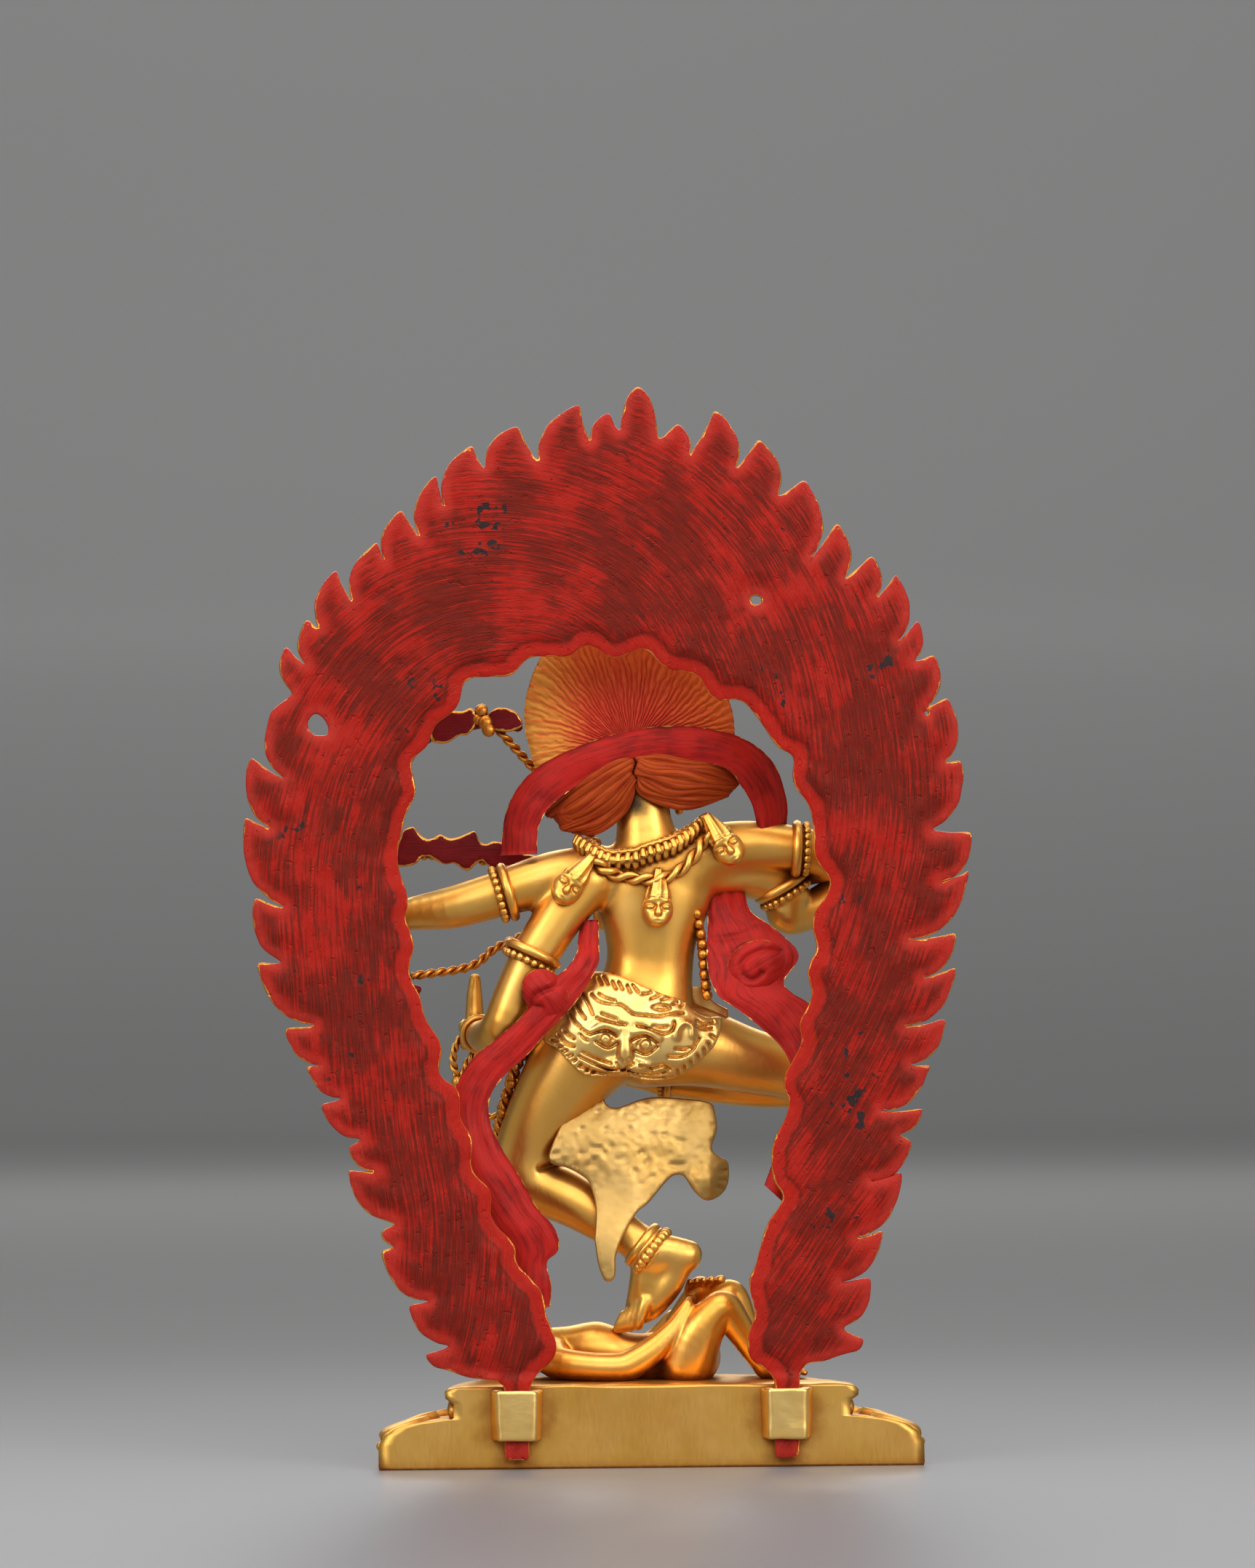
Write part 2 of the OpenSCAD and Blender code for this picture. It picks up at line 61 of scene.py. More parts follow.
def rows(*points):
    return np.array(points, float)


def with_column(points, value):
    """The rows of points, each with value added at its end."""
    return np.column_stack([points, np.full(len(points), value)])


def unit(v):
    v = np.asarray(v, float)
    return v / max(np.linalg.norm(v), 1e-9)


def spline(points, steps=8):
    """Catmull-Rom curve through the rows of points, with steps samples between two of them."""
    p = np.asarray(points, float)
    ext = np.vstack([2 * p[0] - p[1], p, 2 * p[-1] - p[-2]])
    t = np.linspace(0, 1, steps, endpoint=False)[:, None]
    out = []
    for i in range(len(p) - 1):
        a, b, c, d = ext[i:i + 4]
        out.append(0.5 * (2 * b + (c - a) * t + (2 * a - 5 * b + 4 * c - d) * t ** 2
                          + (3 * b - a - 3 * c + d) * t ** 3))
    return np.vstack(out + [p[-1:]])


def lengths(points):
    """Distance along a curve from its first point to each point."""
    p = np.asarray(points, float)[:, :3]
    return np.concatenate([[0], np.cumsum(np.linalg.norm(np.diff(p, axis=0), axis=1))])


def resample(points, n):
    """The same curve with n samples at even distances."""
    p = np.asarray(points, float)
    run = lengths(p)
    at = np.linspace(0, run[-1], n)
    return np.column_stack([np.interp(at, run, p[:, k]) for k in range(p.shape[1])])


def even(points, step):
    """The same curve with samples about step apart."""
    return resample(points, max(2, int(round(lengths(points)[-1] / step)) + 1))


def frames(path, up=(0, 1, 0)):
    """Tangent, side and up of each point of a path, the up kept close to the wanted one."""
    p = np.asarray(path, float)[:, :3]
    t = np.gradient(p, axis=0)
    t /= np.linalg.norm(t, axis=1)[:, None] + 1e-12
    up = np.broadcast_to(np.asarray(up, float), p.shape)
    side = np.cross(t, up)
    side /= np.linalg.norm(side, axis=1)[:, None] + 1e-12
    return t, side, np.cross(side, t)


def smin(a, b, k):
    """The lower of two fields, blended over k."""
    h = np.maximum(k - np.abs(a - b), 0) / k
    return np.minimum(a, b) - h * h * k / 4


def smax(a, b, k):
    return -smin(-a, -b, k)


def hash_noise(ix, iy, iz, seed):
    """A fixed random value in -1..1 for each whole-number grid point."""
    n = (ix * 374761393 + iy * 668265263 + iz * 2147483647 + seed * 144665) & 0xFFFFFFFF
    n = ((n ^ (n >> 13)) * 1274126177) & 0xFFFFFFFF
    return ((n ^ (n >> 16)) & 0xFFFF) / 32767.5 - 1


def lumps(p, size, seed=0):
    """Smooth value noise in -1..1 at the rows of p, its lumps about size across."""
    q = np.asarray(p, float) / size + 57.3
    i = np.floor(q).astype(np.int64)
    f = q - i
    f = f * f * (3 - 2 * f)
    out = np.zeros(len(q))
    for dx in (0, 1):
        for dy in (0, 1):
            for dz in (0, 1):
                w = (np.where(dx, f[:, 0], 1 - f[:, 0]) * np.where(dy, f[:, 1], 1 - f[:, 1])
                     * np.where(dz, f[:, 2], 1 - f[:, 2]))
                out += w * hash_noise(i[:, 0] + dx, i[:, 1] + dy, i[:, 2] + dz, seed)
    return out


# ---------------------------------------------------------------- distance fields

def ball(p, c, r):
    return np.linalg.norm(p - np.asarray(c, float), axis=1) - r


def egg(p, c, r):
    """Ellipsoid with radii r at c."""
    q = p - np.asarray(c, float)
    r = np.asarray(r, float)
    k0 = np.linalg.norm(q / r, axis=1)
    k1 = np.linalg.norm(q / (r * r), axis=1) + 1e-9
    return k0 * (k0 - 1) / k1


def turn(axis, degrees):
    return np.array(Matrix.Rotation(math.radians(degrees), 3, Vector(axis)))


def sample(field, lo, hi, voxel):
    """The field on a grid of voxels from lo to hi, with a border that counts as outside.

    It is first read at the middles of coarse blocks, and in full only near the surface."""
    block = 8
    n = np.ceil((np.asarray(hi, float) - lo) / voxel / block).astype(int)
    mids = np.stack(np.meshgrid(*[np.arange(k) for k in n], indexing="ij"), -1).reshape(-1, 3)
    coarse = field(lo + (mids * block + (block - 1) / 2) * voxel)
    near = np.abs(coarse) < block * voxel * 1.25
    grid = np.repeat(np.repeat(np.repeat(coarse.reshape(n), block, 0), block, 1), block, 2)
    grid = grid.astype(np.float32)
    sub = np.stack(np.meshgrid(*[np.arange(block)] * 3, indexing="ij"), -1).reshape(-1, 3)
    hot = mids[near]
    for i in range(0, len(hot), 400):
        cells = (hot[i:i + 400, None] * block + sub).reshape(-1, 3)
        grid[cells[:, 0], cells[:, 1], cells[:, 2]] = field(lo + cells * voxel)
    grid[[0, -1]] = grid[:, [0, -1]] = 1
    grid[:, :, [0, -1]] = 1
    return grid


def clay(field, lo, hi, voxel):
    """Vertices and quads of the surface where field(points) crosses zero, by surface nets."""
    lo = np.asarray(lo, float)
    grid = sample(field, lo, hi, voxel)
    size = grid.shape
    inside = grid < 0
    count = sum(inside[a:size[0] - 1 + a, b:size[1] - 1 + b, c:size[2] - 1 + c].astype(np.int8)
                for a in (0, 1) for b in (0, 1) for c in (0, 1))
    cell = np.argwhere((count > 0) & (count < 8))
    corners = np.array([(a, b, c) for a in (0, 1) for b in (0, 1) for c in (0, 1)])
    at = cell[:, None] + corners
    value = grid[at[..., 0], at[..., 1], at[..., 2]].astype(float)
    total = np.zeros((len(cell), 3))
    hits = np.zeros(len(cell))
    for i in range(8):
        for j in range(i + 1, 8):
            if np.abs(corners[i] - corners[j]).sum() != 1:
                continue
            cut = (value[:, i] < 0) != (value[:, j] < 0)
            t = value[:, i] / np.where(cut, value[:, i] - value[:, j], 1)
            total += np.where(cut[:, None], corners[i] + t[:, None] * (corners[j] - corners[i]), 0)
            hits += cut
    verts = lo + (cell + total / hits[:, None]) * voxel
    index = np.full(size, -1, np.int64)
    index[cell[:, 0], cell[:, 1], cell[:, 2]] = np.arange(len(cell))
    quads = []
    for axis in range(3):
        u, v = (axis + 1) % 3, (axis + 2) % 3
        step = np.eye(3, dtype=int)
        here = inside[:size[0] - 1, :size[1] - 1, :size[2] - 1]
        there = inside[step[axis][0]:size[0] - 1 + step[axis][0],
                       step[axis][1]:size[1] - 1 + step[axis][1],
                       step[axis][2]:size[2] - 1 + step[axis][2]]
        e = np.argwhere(here != there)
        e = e[(e[:, u] > 0) & (e[:, v] > 0)]
        four = [index[tuple((e - du * step[u] - dv * step[v]).T)]
                for du, dv in ((0, 0), (1, 0), (1, 1), (0, 1))]
        q = np.stack(four, 1)
        out = here[tuple(e.T)]
        quads.append(np.where(out[:, None], q, q[:, ::-1]))
    return verts, np.vstack(quads)


def relax(verts, faces, rounds=1, amount=0.5):
    """Moves each vertex towards the mean of its neighbours."""
    e = np.concatenate([faces[:, [i, (i + 1) % faces.shape[1]]] for i in range(faces.shape[1])])
    for _ in range(rounds):
        total = np.zeros_like(verts)
        count = np.zeros(len(verts))
        for a, b in ((0, 1), (1, 0)):
            for k in range(3):
                total[:, k] += np.bincount(e[:, a], verts[e[:, b], k], len(verts))
            count += np.bincount(e[:, a], minlength=len(verts))
        verts = verts + amount * (total / count[:, None] - verts)
    return verts


# ---------------------------------------------------------------- mesh pieces

def piece(name, parts, material, body="statue", smooth=True, added=False):
    """One object from (vertices in mm, faces) parts, riding on body.

    It replaces the CAD node of the same name, unless it is added detail that has no node."""
    if isinstance(parts, tuple):
        parts = [parts]
    verts, sizes, loops, start = [], [], [], 0
    for v, f in parts:
        verts.append(np.asarray(v, float))
        if isinstance(f, np.ndarray):
            sizes.append(np.full(len(f), f.shape[1]))
            loops.append(f.reshape(-1) + start)
        else:
            sizes.append(np.array([len(x) for x in f]))
            loops.append(np.concatenate([np.asarray(x) for x in f]) + start)
        start += len(v)
    verts, sizes, loops = np.vstack(verts), np.concatenate(sizes), np.concatenate(loops)
    mesh = bpy.data.meshes.new(name)
    mesh.vertices.add(len(verts))
    mesh.vertices.foreach_set("co", (verts * MM).astype(np.float32).ravel())
    mesh.loops.add(len(loops))
    mesh.loops.foreach_set("vertex_index", loops.astype(np.int32))
    mesh.polygons.add(len(sizes))
    mesh.polygons.foreach_set("loop_start", (np.cumsum(sizes) - sizes).astype(np.int32))
    mesh.polygons.foreach_set("use_smooth", np.full(len(sizes), smooth))
    mesh.update(calc_edges=True)
    mesh.validate()
    mesh.materials.append(material)
    ob = bpy.data.objects.new(name, mesh)
    bpy.context.scene.collection.objects.link(ob)
    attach(ob, body)
    if not added:
        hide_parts(name)
    return ob


def cast(name, field, lo, hi, voxel, material=None):
    """A piece that is one clay casting, its surface smoothed once; gilt brass if not told."""
    v, f = clay(field, lo, hi, voxel)
    piece(name, (relax(v, f), f), material or GILT)


def both_faces(nu, nv, turned=False):
    """Quads of two nu by nv grids, the second behind the first, joined along the border."""
    grid = np.arange(nu * nv).reshape(nu, nv)
    near = np.stack([grid[:-1, :-1], grid[1:, :-1], grid[1:, 1:], grid[:-1, 1:]], -1).reshape(-1, 4)
    other = near[:, [0, 3, 2, 1]]
    near, other = (other, near) if turned else (near, other)
    border = np.concatenate([grid[:-1, 0], grid[-1, :-1], grid[:0:-1, -1], grid[0, :0:-1]])
    after = np.roll(border, -1)
    rim = np.stack([border, border + grid.size, after + grid.size, after], 1)
    return np.vstack([near, other + grid.size, rim])


def tube(path, radius, sides=10, up=(0, 1, 0), flat=1.0, closed=False):
    """A swept tube. radius is one value or one per point; flat scales it along up."""
    p = np.asarray(path, float)[:, :3]
    r = np.broadcast_to(np.asarray(radius, float), len(p))
    _, side, top = frames(p, up)
    if closed:
        t = np.roll(p, -1, 0) - np.roll(p, 1, 0)
        t /= np.linalg.norm(t, axis=1)[:, None]
        side = np.cross(t, np.broadcast_to(np.asarray(up, float), p.shape))
        side /= np.linalg.norm(side, axis=1)[:, None]
        top = np.cross(side, t)
    a = np.arange(sides) * 2 * math.pi / sides
    ring = np.cos(a)[None, :, None] * side[:, None] + flat * np.sin(a)[None, :, None] * top[:, None]
    verts = (p[:, None] + r[:, None, None] * ring).reshape(-1, 3)
    n = len(p)
    i, j = np.meshgrid(np.arange(n if closed else n - 1), np.arange(sides), indexing="ij")
    k, m = (i + 1) % n, (j + 1) % sides
    faces = np.stack([i * sides + j, i * sides + m, k * sides + m, k * sides + j], -1)
    faces = list(faces.reshape(-1, 4))
    if not closed:
        faces.append(np.arange(sides)[::-1])
        faces.append((n - 1) * sides + np.arange(sides))
    return verts, faces


def rope(path, radius, pitch=4.0, up=(0, 1, 0), sides=8):
    """Two strands twisted round each other along a path."""
    p = np.asarray(path, float)[:, :3]
    _, side, top = frames(p, up)
    turns = lengths(p) / pitch * 2 * math.pi
    out = []
    for a in (turns, turns + math.pi):
        q = p + radius / 2 * (np.cos(a)[:, None] * side + np.sin(a)[:, None] * top)
        out.append(tube(q, radius / 2, sides, up))
    return out


def beads(centres, radius, squash=None, rings=6, segments=10):
    """A bead at each centre. squash is (x, y, z) factors."""
    centres = np.atleast_2d(centres)
    r = np.broadcast_to(np.asarray(radius, float), len(centres))
    th = np.linspace(0, math.pi, rings + 1)[1:-1]
    ph = np.arange(segments) * 2 * math.pi / segments
    v = [(0, 0, 1)] + [(math.sin(t) * math.cos(f), math.sin(t) * math.sin(f), math.cos(t))
                       for t in th for f in ph] + [(0, 0, -1)]
    v = np.array(v) * (squash if squash is not None else 1)
    faces = [[0, 1 + j, 1 + (j + 1) % segments] for j in range(segments)]
    for i in range(rings - 2):
        a, b = 1 + i * segments, 1 + (i + 1) * segments
        faces += [[a + j, b + j, b + (j + 1) % segments, a + (j + 1) % segments]
                  for j in range(segments)]
    last = 1 + (rings - 2) * segments
    faces += [[last + j, len(v) - 1, last + (j + 1) % segments] for j in range(segments)]
    return [(v * s + c, faces) for c, s in zip(centres, r)]


def ring_points(centre, axis, radius, n=48, flat=1.0):
    """Points of a circle at centre round axis."""
    w = unit(axis)
    u = unit(np.cross(w, (0.3, 0.1, 1) if abs(w[2]) < 0.9 else (1, 0, 0.1)))
    v = np.cross(w, u)
    a = np.arange(n) * 2 * math.pi / n
    return np.asarray(centre, float) + radius * (np.cos(a)[:, None] * u
                                                 + flat * np.sin(a)[:, None] * v)


def hoop(centre, axis, radius, section, n=48, flat=1.0, sides=8):
    return tube(ring_points(centre, axis, radius, n, flat), section, sides, unit(axis), flat,
                closed=True)


def inside_of(points, outline):
    """True for the rows of points inside a closed outline."""
    x, y = points[:, 0], points[:, 1]
    hit = np.zeros(len(points), bool)
    for a, b in zip(outline, np.roll(outline, -1, 0)):
        if a[1] == b[1]:
            continue
        cross = (a[1] > y) != (b[1] > y)
        hit ^= cross & (x < (b[0] - a[0]) * (y - a[1]) / (b[1] - a[1]) + a[0])
    return hit


def edge_distance(points, outlines):
    """Distance from the rows of points to the nearest outline."""
    d = np.full(len(points), 1e9)
    for outline in outlines:
        for a, b in zip(outline, np.roll(outline, -1, 0)):
            ab = b - a
            t = np.clip((points - a) @ ab / (ab @ ab + 1e-12), 0, 1)
            d = np.minimum(d, np.linalg.norm(points - a - t[:, None] * ab, axis=1))
    return d


def inset(outline, amount):
    """The closed outline moved inwards by amount; the outline runs anticlockwise."""
    t = np.roll(outline, -1, 0) - np.roll(outline, 1, 0)
    t /= np.linalg.norm(t, axis=1)[:, None] + 1e-12
    return outline + amount * np.column_stack([-t[:, 1], t[:, 0]])


def area(outline):
    """Signed area, above 0 for an anticlockwise outline."""
    x, y = outline[:, 0], outline[:, 1]
    return 0.5 * np.sum(x * np.roll(y, -1) - y * np.roll(x, -1))


def plate(outer, holes, spacing, front, back, rim=0.35):
    """A closed sheet in the XZ plane with rounded edges.

    front(xz) and back(xz) give the y of the two faces at rows of (x, z) inside. Returns
    (vertices, faces) and the distance of each vertex from the edge."""
    outer = outer if area(outer) > 0 else outer[::-1]
    holes = [h if area(h) < 0 else h[::-1] for h in holes]
    loops = [outer] + holes
    lo, hi = outer.min(0), outer.max(0)
    xs = np.arange(lo[0], hi[0], spacing)
    zs = np.arange(lo[1], hi[1], spacing * 0.87)
    grid = np.array([(x + (i % 2) * spacing / 2, z) for i, z in enumerate(zs) for x in xs])
    grid = grid[inside_of(grid, outer)]
    for h in holes:
        grid = grid[~inside_of(grid, h)]
    grid = grid[edge_distance(grid, loops) > rim + spacing * 0.55]
    inner = [inset(loop, rim) for loop in loops]
    flat = np.vstack(inner + [grid])
    edges, at = [], 0
    for loop in inner:
        edges += [(at + k, at + (k + 1) % len(loop)) for k in range(len(loop))]
        at += len(loop)
    vs, _, fs, _, _, _ = delaunay_2d_cdt([Vector(p) for p in flat], edges, [], 0, 1e-7)
    vs = np.array([tuple(v) for v in vs])
    fs = np.array([f for f in fs if len(f) == 3])
    mid = vs[fs].mean(1)
    keep = inside_of(mid, inner[0])
    for h in inner[1:]:
        keep &= ~inside_of(mid, h)
    fs = fs[keep]
    a, b, c = vs[fs[:, 0]], vs[fs[:, 1]], vs[fs[:, 2]]
    ccw = (b - a)[:, 0] * (c - a)[:, 1] - (b - a)[:, 1] * (c - a)[:, 0] > 0
    fs = np.where(ccw[:, None], fs, fs[:, ::-1])
    n = len(vs)
    dist = edge_distance(vs, loops)
    yf, yb = front(vs, dist), back(vs, dist)
    verts = [np.column_stack([vs[:, 0], yf, vs[:, 1]]), np.column_stack([vs[:, 0], yb, vs[:, 1]])]
    # seen from -Y with +Z up, +X is to the right, so anticlockwise faces look to -Y
    faces = [fs, fs[:, ::-1] + n]
    away = [dist, dist]
    at = 2 * n
    lookup = {tuple(np.round(v, 5)): i for i, v in enumerate(vs)}
    for loop, inn in zip(loops, inner):
        m = len(loop)
        ids = np.array([lookup.get(tuple(np.round(p, 5)), -1) for p in inn])
        if (ids < 0).any():
            near = [int(np.argmin(np.linalg.norm(vs - p, axis=1))) for p in inn[ids < 0]]
            ids[ids < 0] = near
        f, bk = yf[ids], yb[ids]
        side = inset(loop, rim * 0.3)
        rings = [np.column_stack([side[:, 0], f + (bk - f) * 0.12, side[:, 1]]),
                 np.column_stack([loop[:, 0], f + (bk - f) * 0.35, loop[:, 1]]),
                 np.column_stack([loop[:, 0], f + (bk - f) * 0.65, loop[:, 1]]),
                 np.column_stack([side[:, 0], f + (bk - f) * 0.88, side[:, 1]])]
        verts += rings
        away += [np.zeros(m)] * 4
        chain = [ids] + [at + k * m + np.arange(m) for k in range(4)] + [ids + n]
        for p, q in zip(chain[:-1], chain[1:]):
            faces.append(np.stack([p, q, np.roll(q, -1), np.roll(p, -1)], 1))
        at += 4 * m
    return (np.vstack(verts), [x for f in faces for x in f]), np.concatenate(away)


# ---------------------------------------------------------------- materials

class Shade:
    """A Principled material built from a few short calls."""

    def __init__(self, name):
        self.mat = bpy.data.materials.new(name)
        self.mat.use_nodes = True
        self.tree = self.mat.node_tree
        self.bsdf = self.tree.nodes["Principled BSDF"]
        self.coord = self.node("TexCoord").outputs["Object"]

    def node(self, kind, inputs=(), **props):
        n = self.tree.nodes.new("ShaderNode" + kind)
        for key, value in props.items():
            setattr(n, key, value)
        for key, value in dict(inputs).items():
            self.put(n.inputs[key], value)
        return n

    def put(self, socket, value):
        if isinstance(value, bpy.types.NodeSocket):
            self.tree.links.new(value, socket)
        else:
            socket.default_value = value

    def noise(self, size, stretch=(1, 1, 1), detail=3, source=None, rough=0.55):
        """Noise whose lumps are about size mm across, stretched along the axes."""
        scale = [1 / (MM * size * s) for s in stretch]
        where = self.node("VectorMath", {0: source or self.coord, 1: scale}, operation="MULTIPLY")
        n = self.node("TexNoise", {"Vector": where.outputs[0], "Scale": 1.0, "Detail": detail,
                                   "Roughness": rough})
        return n.outputs["Fac"]

    def attribute(self, name, out="Fac"):
        return self.node("Attribute", attribute_name=name).outputs[out]

    def calc(self, op, a, b=0.0, clamp=False):
        n = self.node("Math", operation=op, use_clamp=clamp)
        self.put(n.inputs[0], a)
        self.put(n.inputs[1], b)
        return n.outputs[0]

    def times(self, a, b, clamp=False):
        return self.calc("MULTIPLY", a, b, clamp)

    def plus(self, a, b):
        return self.calc("ADD", a, b)

    def step(self, value, low, high, to_low=0.0, to_high=1.0):
        """Smooth step of value from low..high to to_low..to_high."""
        n = self.node("MapRange", interpolation_type="SMOOTHSTEP")
        for socket, v in zip(n.inputs, (value, low, high, to_low, to_high)):
            self.put(socket, v)
        return n.outputs[0]

    def mix(self, fac, a, b):
        n = self.node("Mix", data_type="RGBA")
        self.put(n.inputs["Factor"], fac)
        for socket, v in zip([s for s in n.inputs if s.type == "RGBA"], (a, b)):
            self.put(socket, v if isinstance(v, bpy.types.NodeSocket) else (*v, 1))
        return [s for s in n.outputs if s.type == "RGBA"][0]

    def hollow(self, reach):
        """0 on open surface, towards 1 in recesses within reach mm."""
        ao = self.node("AmbientOcclusion", {"Distance": reach * MM}, samples=4)
        return self.step(ao.outputs["AO"], 0.95, 0.35)

    def bump(self, height, depth, normal=None):
        """Bump whose full height is depth mm."""
        n = self.node("Bump", {"Strength": 1.0, "Distance": depth * MM, "Height": height})
        if normal is not None:
            self.put(n.inputs["Normal"], normal)
        return n.outputs[0]

    def soft_shine(self, tint, level):
        """A weaker, tinted sheen for satin paint."""
        self.bsdf.inputs["Specular IOR Level"].default_value = level
        self.bsdf.inputs["Specular Tint"].default_value = (*tint, 1)

    def set(self, **values):
        for key, value in values.items():
            name = key.replace("_", " ")
            if isinstance(value, tuple):
                value = (*value, 1) if len(value) == 3 else value
            self.put(self.bsdf.inputs[name], value)


GOLD = (0.96, 0.51, 0.10)
GOLD_DEEP = (0.80, 0.33, 0.045)
# orange-brown patina for the recesses, dark enough to stand also for painted shade there
PATINA_AND_SHADE = (0.32, 0.095, 0.016)
RED = (0.41, 0.013, 0.008)
RED_TIP = (0.60, 0.055, 0.038)
RED_EDGE = (0.54, 0.018, 0.010)
RED_GLAZE = (0.105, 0.011, 0.006)
CRIMSON = (0.50, 0.018, 0.014)


def gilt_material(name, tone=GOLD, rough=0.37, patina_and_shade_amount=1.0, grain=(0.1, 1, 1), stains=(),
                  stain=PATINA_AND_SHADE, depth=0.9):
    """Fire gilding: cloudy gold, fine brushing, and orange-brown patina with painted shade in the
    recesses.
    """
    s = Shade(name)
    hollow = s.hollow(3.4)
    pale = tuple(min(1.0, 1.05 * c + 0.035) for c in tone)
    deep = (0.82 * tone[0], 0.66 * tone[1], 0.48 * tone[2])
    base = s.mix(s.step(s.noise(11, detail=3), 0.35, 0.7), tone, pale)
    base = s.mix(s.step(s.noise(16, detail=2), 0.45, 0.75, 0, 0.45), base, deep)
    # painted shade: the recesses turn to the deeper gold
    base = s.mix(s.step(hollow, 0.05, 0.5, 0, 0.8 * min(1, patina_and_shade_amount)), base, deep)
    grit = s.step(s.noise(1.4, detail=3), 0.25, 0.6, 0.55 * patina_and_shade_amount, patina_and_shade_amount)
    # patina with painted shade: rough orange-brown where the ambient occlusion is high
    patina_and_shade = s.times(s.step(hollow, 0.3, 0.9), grit, True)
    base = s.mix(patina_and_shade, base, PATINA_AND_SHADE)
    for x, y, z, reach in stains:
        away = s.node("VectorMath", {0: s.coord, 1: (x * MM, y * MM, z * MM)}, operation="DISTANCE")
        wander = s.times(s.noise(2.4, detail=4), 1.4 * reach * MM)
        ragged = s.plus(away.outputs["Value"], wander)
        mark = s.step(ragged, 1.9 * reach * MM, 0.6 * reach * MM, 0, depth)
        base = s.mix(mark, base, stain)
    scratch = s.noise(1.5, stretch=grain, detail=3)
    height = s.plus(s.times(scratch, 0.16), s.noise(6, detail=2))
    shine = s.step(scratch, 0.3, 0.7, rough - 0.03, rough + 0.05)
    s.set(Base_Color=base, Metallic=1.0, Normal=s.bump(height, 0.06),
          Roughness=s.plus(s.times(patina_and_shade, 0.3), shine))
    return s.mat


def aureole_material():
    """Red paint with brushed dark glaze behind, gilding in front, worn rims."""
    s = Shade("aureole_paint")
    away, front = s.attribute("away"), s.attribute("front")
    stroke = s.attribute("stroke", "Vector")
    long = s.noise(1.0, stretch=(10, 0.5, 1), detail=4, source=stroke)
    fine = s.noise(1.0, stretch=(7, 0.16, 1), detail=3, source=stroke)
    patch = s.noise(11, detail=4, rough=0.6)
    rim = s.step(s.plus(away, s.times(s.noise(5, detail=3), 7.0)), 3.4, 6.6, 0.12, 1)
    glaze = s.times(s.step(s.plus(long, patch), 0.82, 1.06),
                  rim, True)
    glaze = s.times(glaze, s.step(fine, 0.3, 0.6, 0.35, 1.0), True)
    red = s.mix(s.step(patch, 0.35, 0.65), RED, (0.42, 0.012, 0.007))
    red = s.mix(s.step(fine, 0.5, 0.8, 0, 0.5), red, (0.62, 0.04, 0.022))
    inner = s.attribute("inner")
    inner = s.plus(inner, s.times(s.noise(4, detail=3), 2.4))
    glaze = s.times(glaze, s.step(inner, 3.2, 4.0, 0.35, 1.0), True)
    red = s.mix(s.step(inner, 3.2, 4.0, 0.35, 0.0), red, RED_EDGE)
    base = s.mix(glaze, red, RED_GLAZE)
    line = s.times(s.step(inner, 3.7, 3.9), s.step(inner, 4.6, 4.1))
    base = s.mix(s.times(line, 0.5), base, RED_GLAZE)
    spots = s.noise(2.3, detail=2)
    tip = s.times(s.step(away, 2.6, 0.6, 0, 0.32), s.step(inner, 6, 9))
    base = s.mix(tip, base, RED_TIP)
    dot = s.step(s.times(spots, s.noise(17, detail=1)), 0.415, 0.45)
    base = s.mix(s.times(dot, s.step(away, 1.5, 3.0)), base, (0.024, 0.018, 0.020))
    bare = s.calc("SUBTRACT", s.times(s.noise(2.4, detail=3), 1.3), away)
    worn = s.times(s.step(bare, 0.42, 0.60), s.step(s.noise(7, detail=3), 0.42, 0.56))
    gold = s.calc("MAXIMUM", worn, s.times(front, s.step(s.noise(3), 0.2, 0.3, 0.9, 1)))
    gold = s.calc("MINIMUM", gold, 1.0)
    pits = s.step(s.noise(1.5, detail=2), 0.26, 0.36)
    height = s.plus(s.times(fine, 0.30), s.noise(3.6, detail=4, rough=0.5))
    height = s.plus(height, s.times(pits, 0.35))
    # patina with painted shade in the recesses of the gilt front
    patina_and_shade = s.times(s.hollow(2.5), front)
    base = s.mix(gold, base, GOLD)
    base = s.mix(patina_and_shade, base, PATINA_AND_SHADE)
    s.set(Base_Color=base, Metallic=gold, Normal=s.bump(height, 0.42),
          Roughness=s.step(s.plus(patch, glaze), 0.4, 1.4, 0.22, 0.36))
    s.soft_shine((1.0, 0.45, 0.35), 0.24)
    return s.mat


def paint_material(name, tone, dark, streak=0.4, worn=0.35, rough=0.33):
    """Satin brushed paint over metal. away is the distance to the edge, stroke the sweep."""
    s = Shade(name)
    stroke = s.attribute("stroke", "Vector")
    long = s.noise(1.0, stretch=(7, 0.8, 1), detail=4, source=stroke)
    fine = s.noise(1.0, stretch=(5, 0.18, 1), detail=2, source=stroke)
    patch = s.noise(6, detail=3)
    shade = s.step(s.plus(long, patch), 0.85, 1.35, 0, streak)
    base = s.mix(shade, tone, dark)
    base = s.mix(s.step(fine, 0.5, 0.8, 0, 0.3), base, tuple(min(1, 1.3 * c + 0.02) for c in tone))
    # painted shade: recesses darkened towards the dark tone
    base = s.mix(s.step(s.hollow(2.5), 0.3, 1.0, 0, 0.75), base, tuple(0.3 * c for c in dark))
    edge = s.calc("SUBTRACT", s.times(s.noise(2.1, detail=3), 1.2), s.attribute("away"))
    gold = s.step(edge, worn + 0.02, worn + 0.2)
    s.set(Base_Color=s.mix(gold, base, GOLD), Metallic=gold, Roughness=rough,
          Normal=s.bump(s.plus(fine, s.noise(2.5)), 0.08))
    s.soft_shine((1.0, 0.5, 0.45), 0.2)
    return s.mat


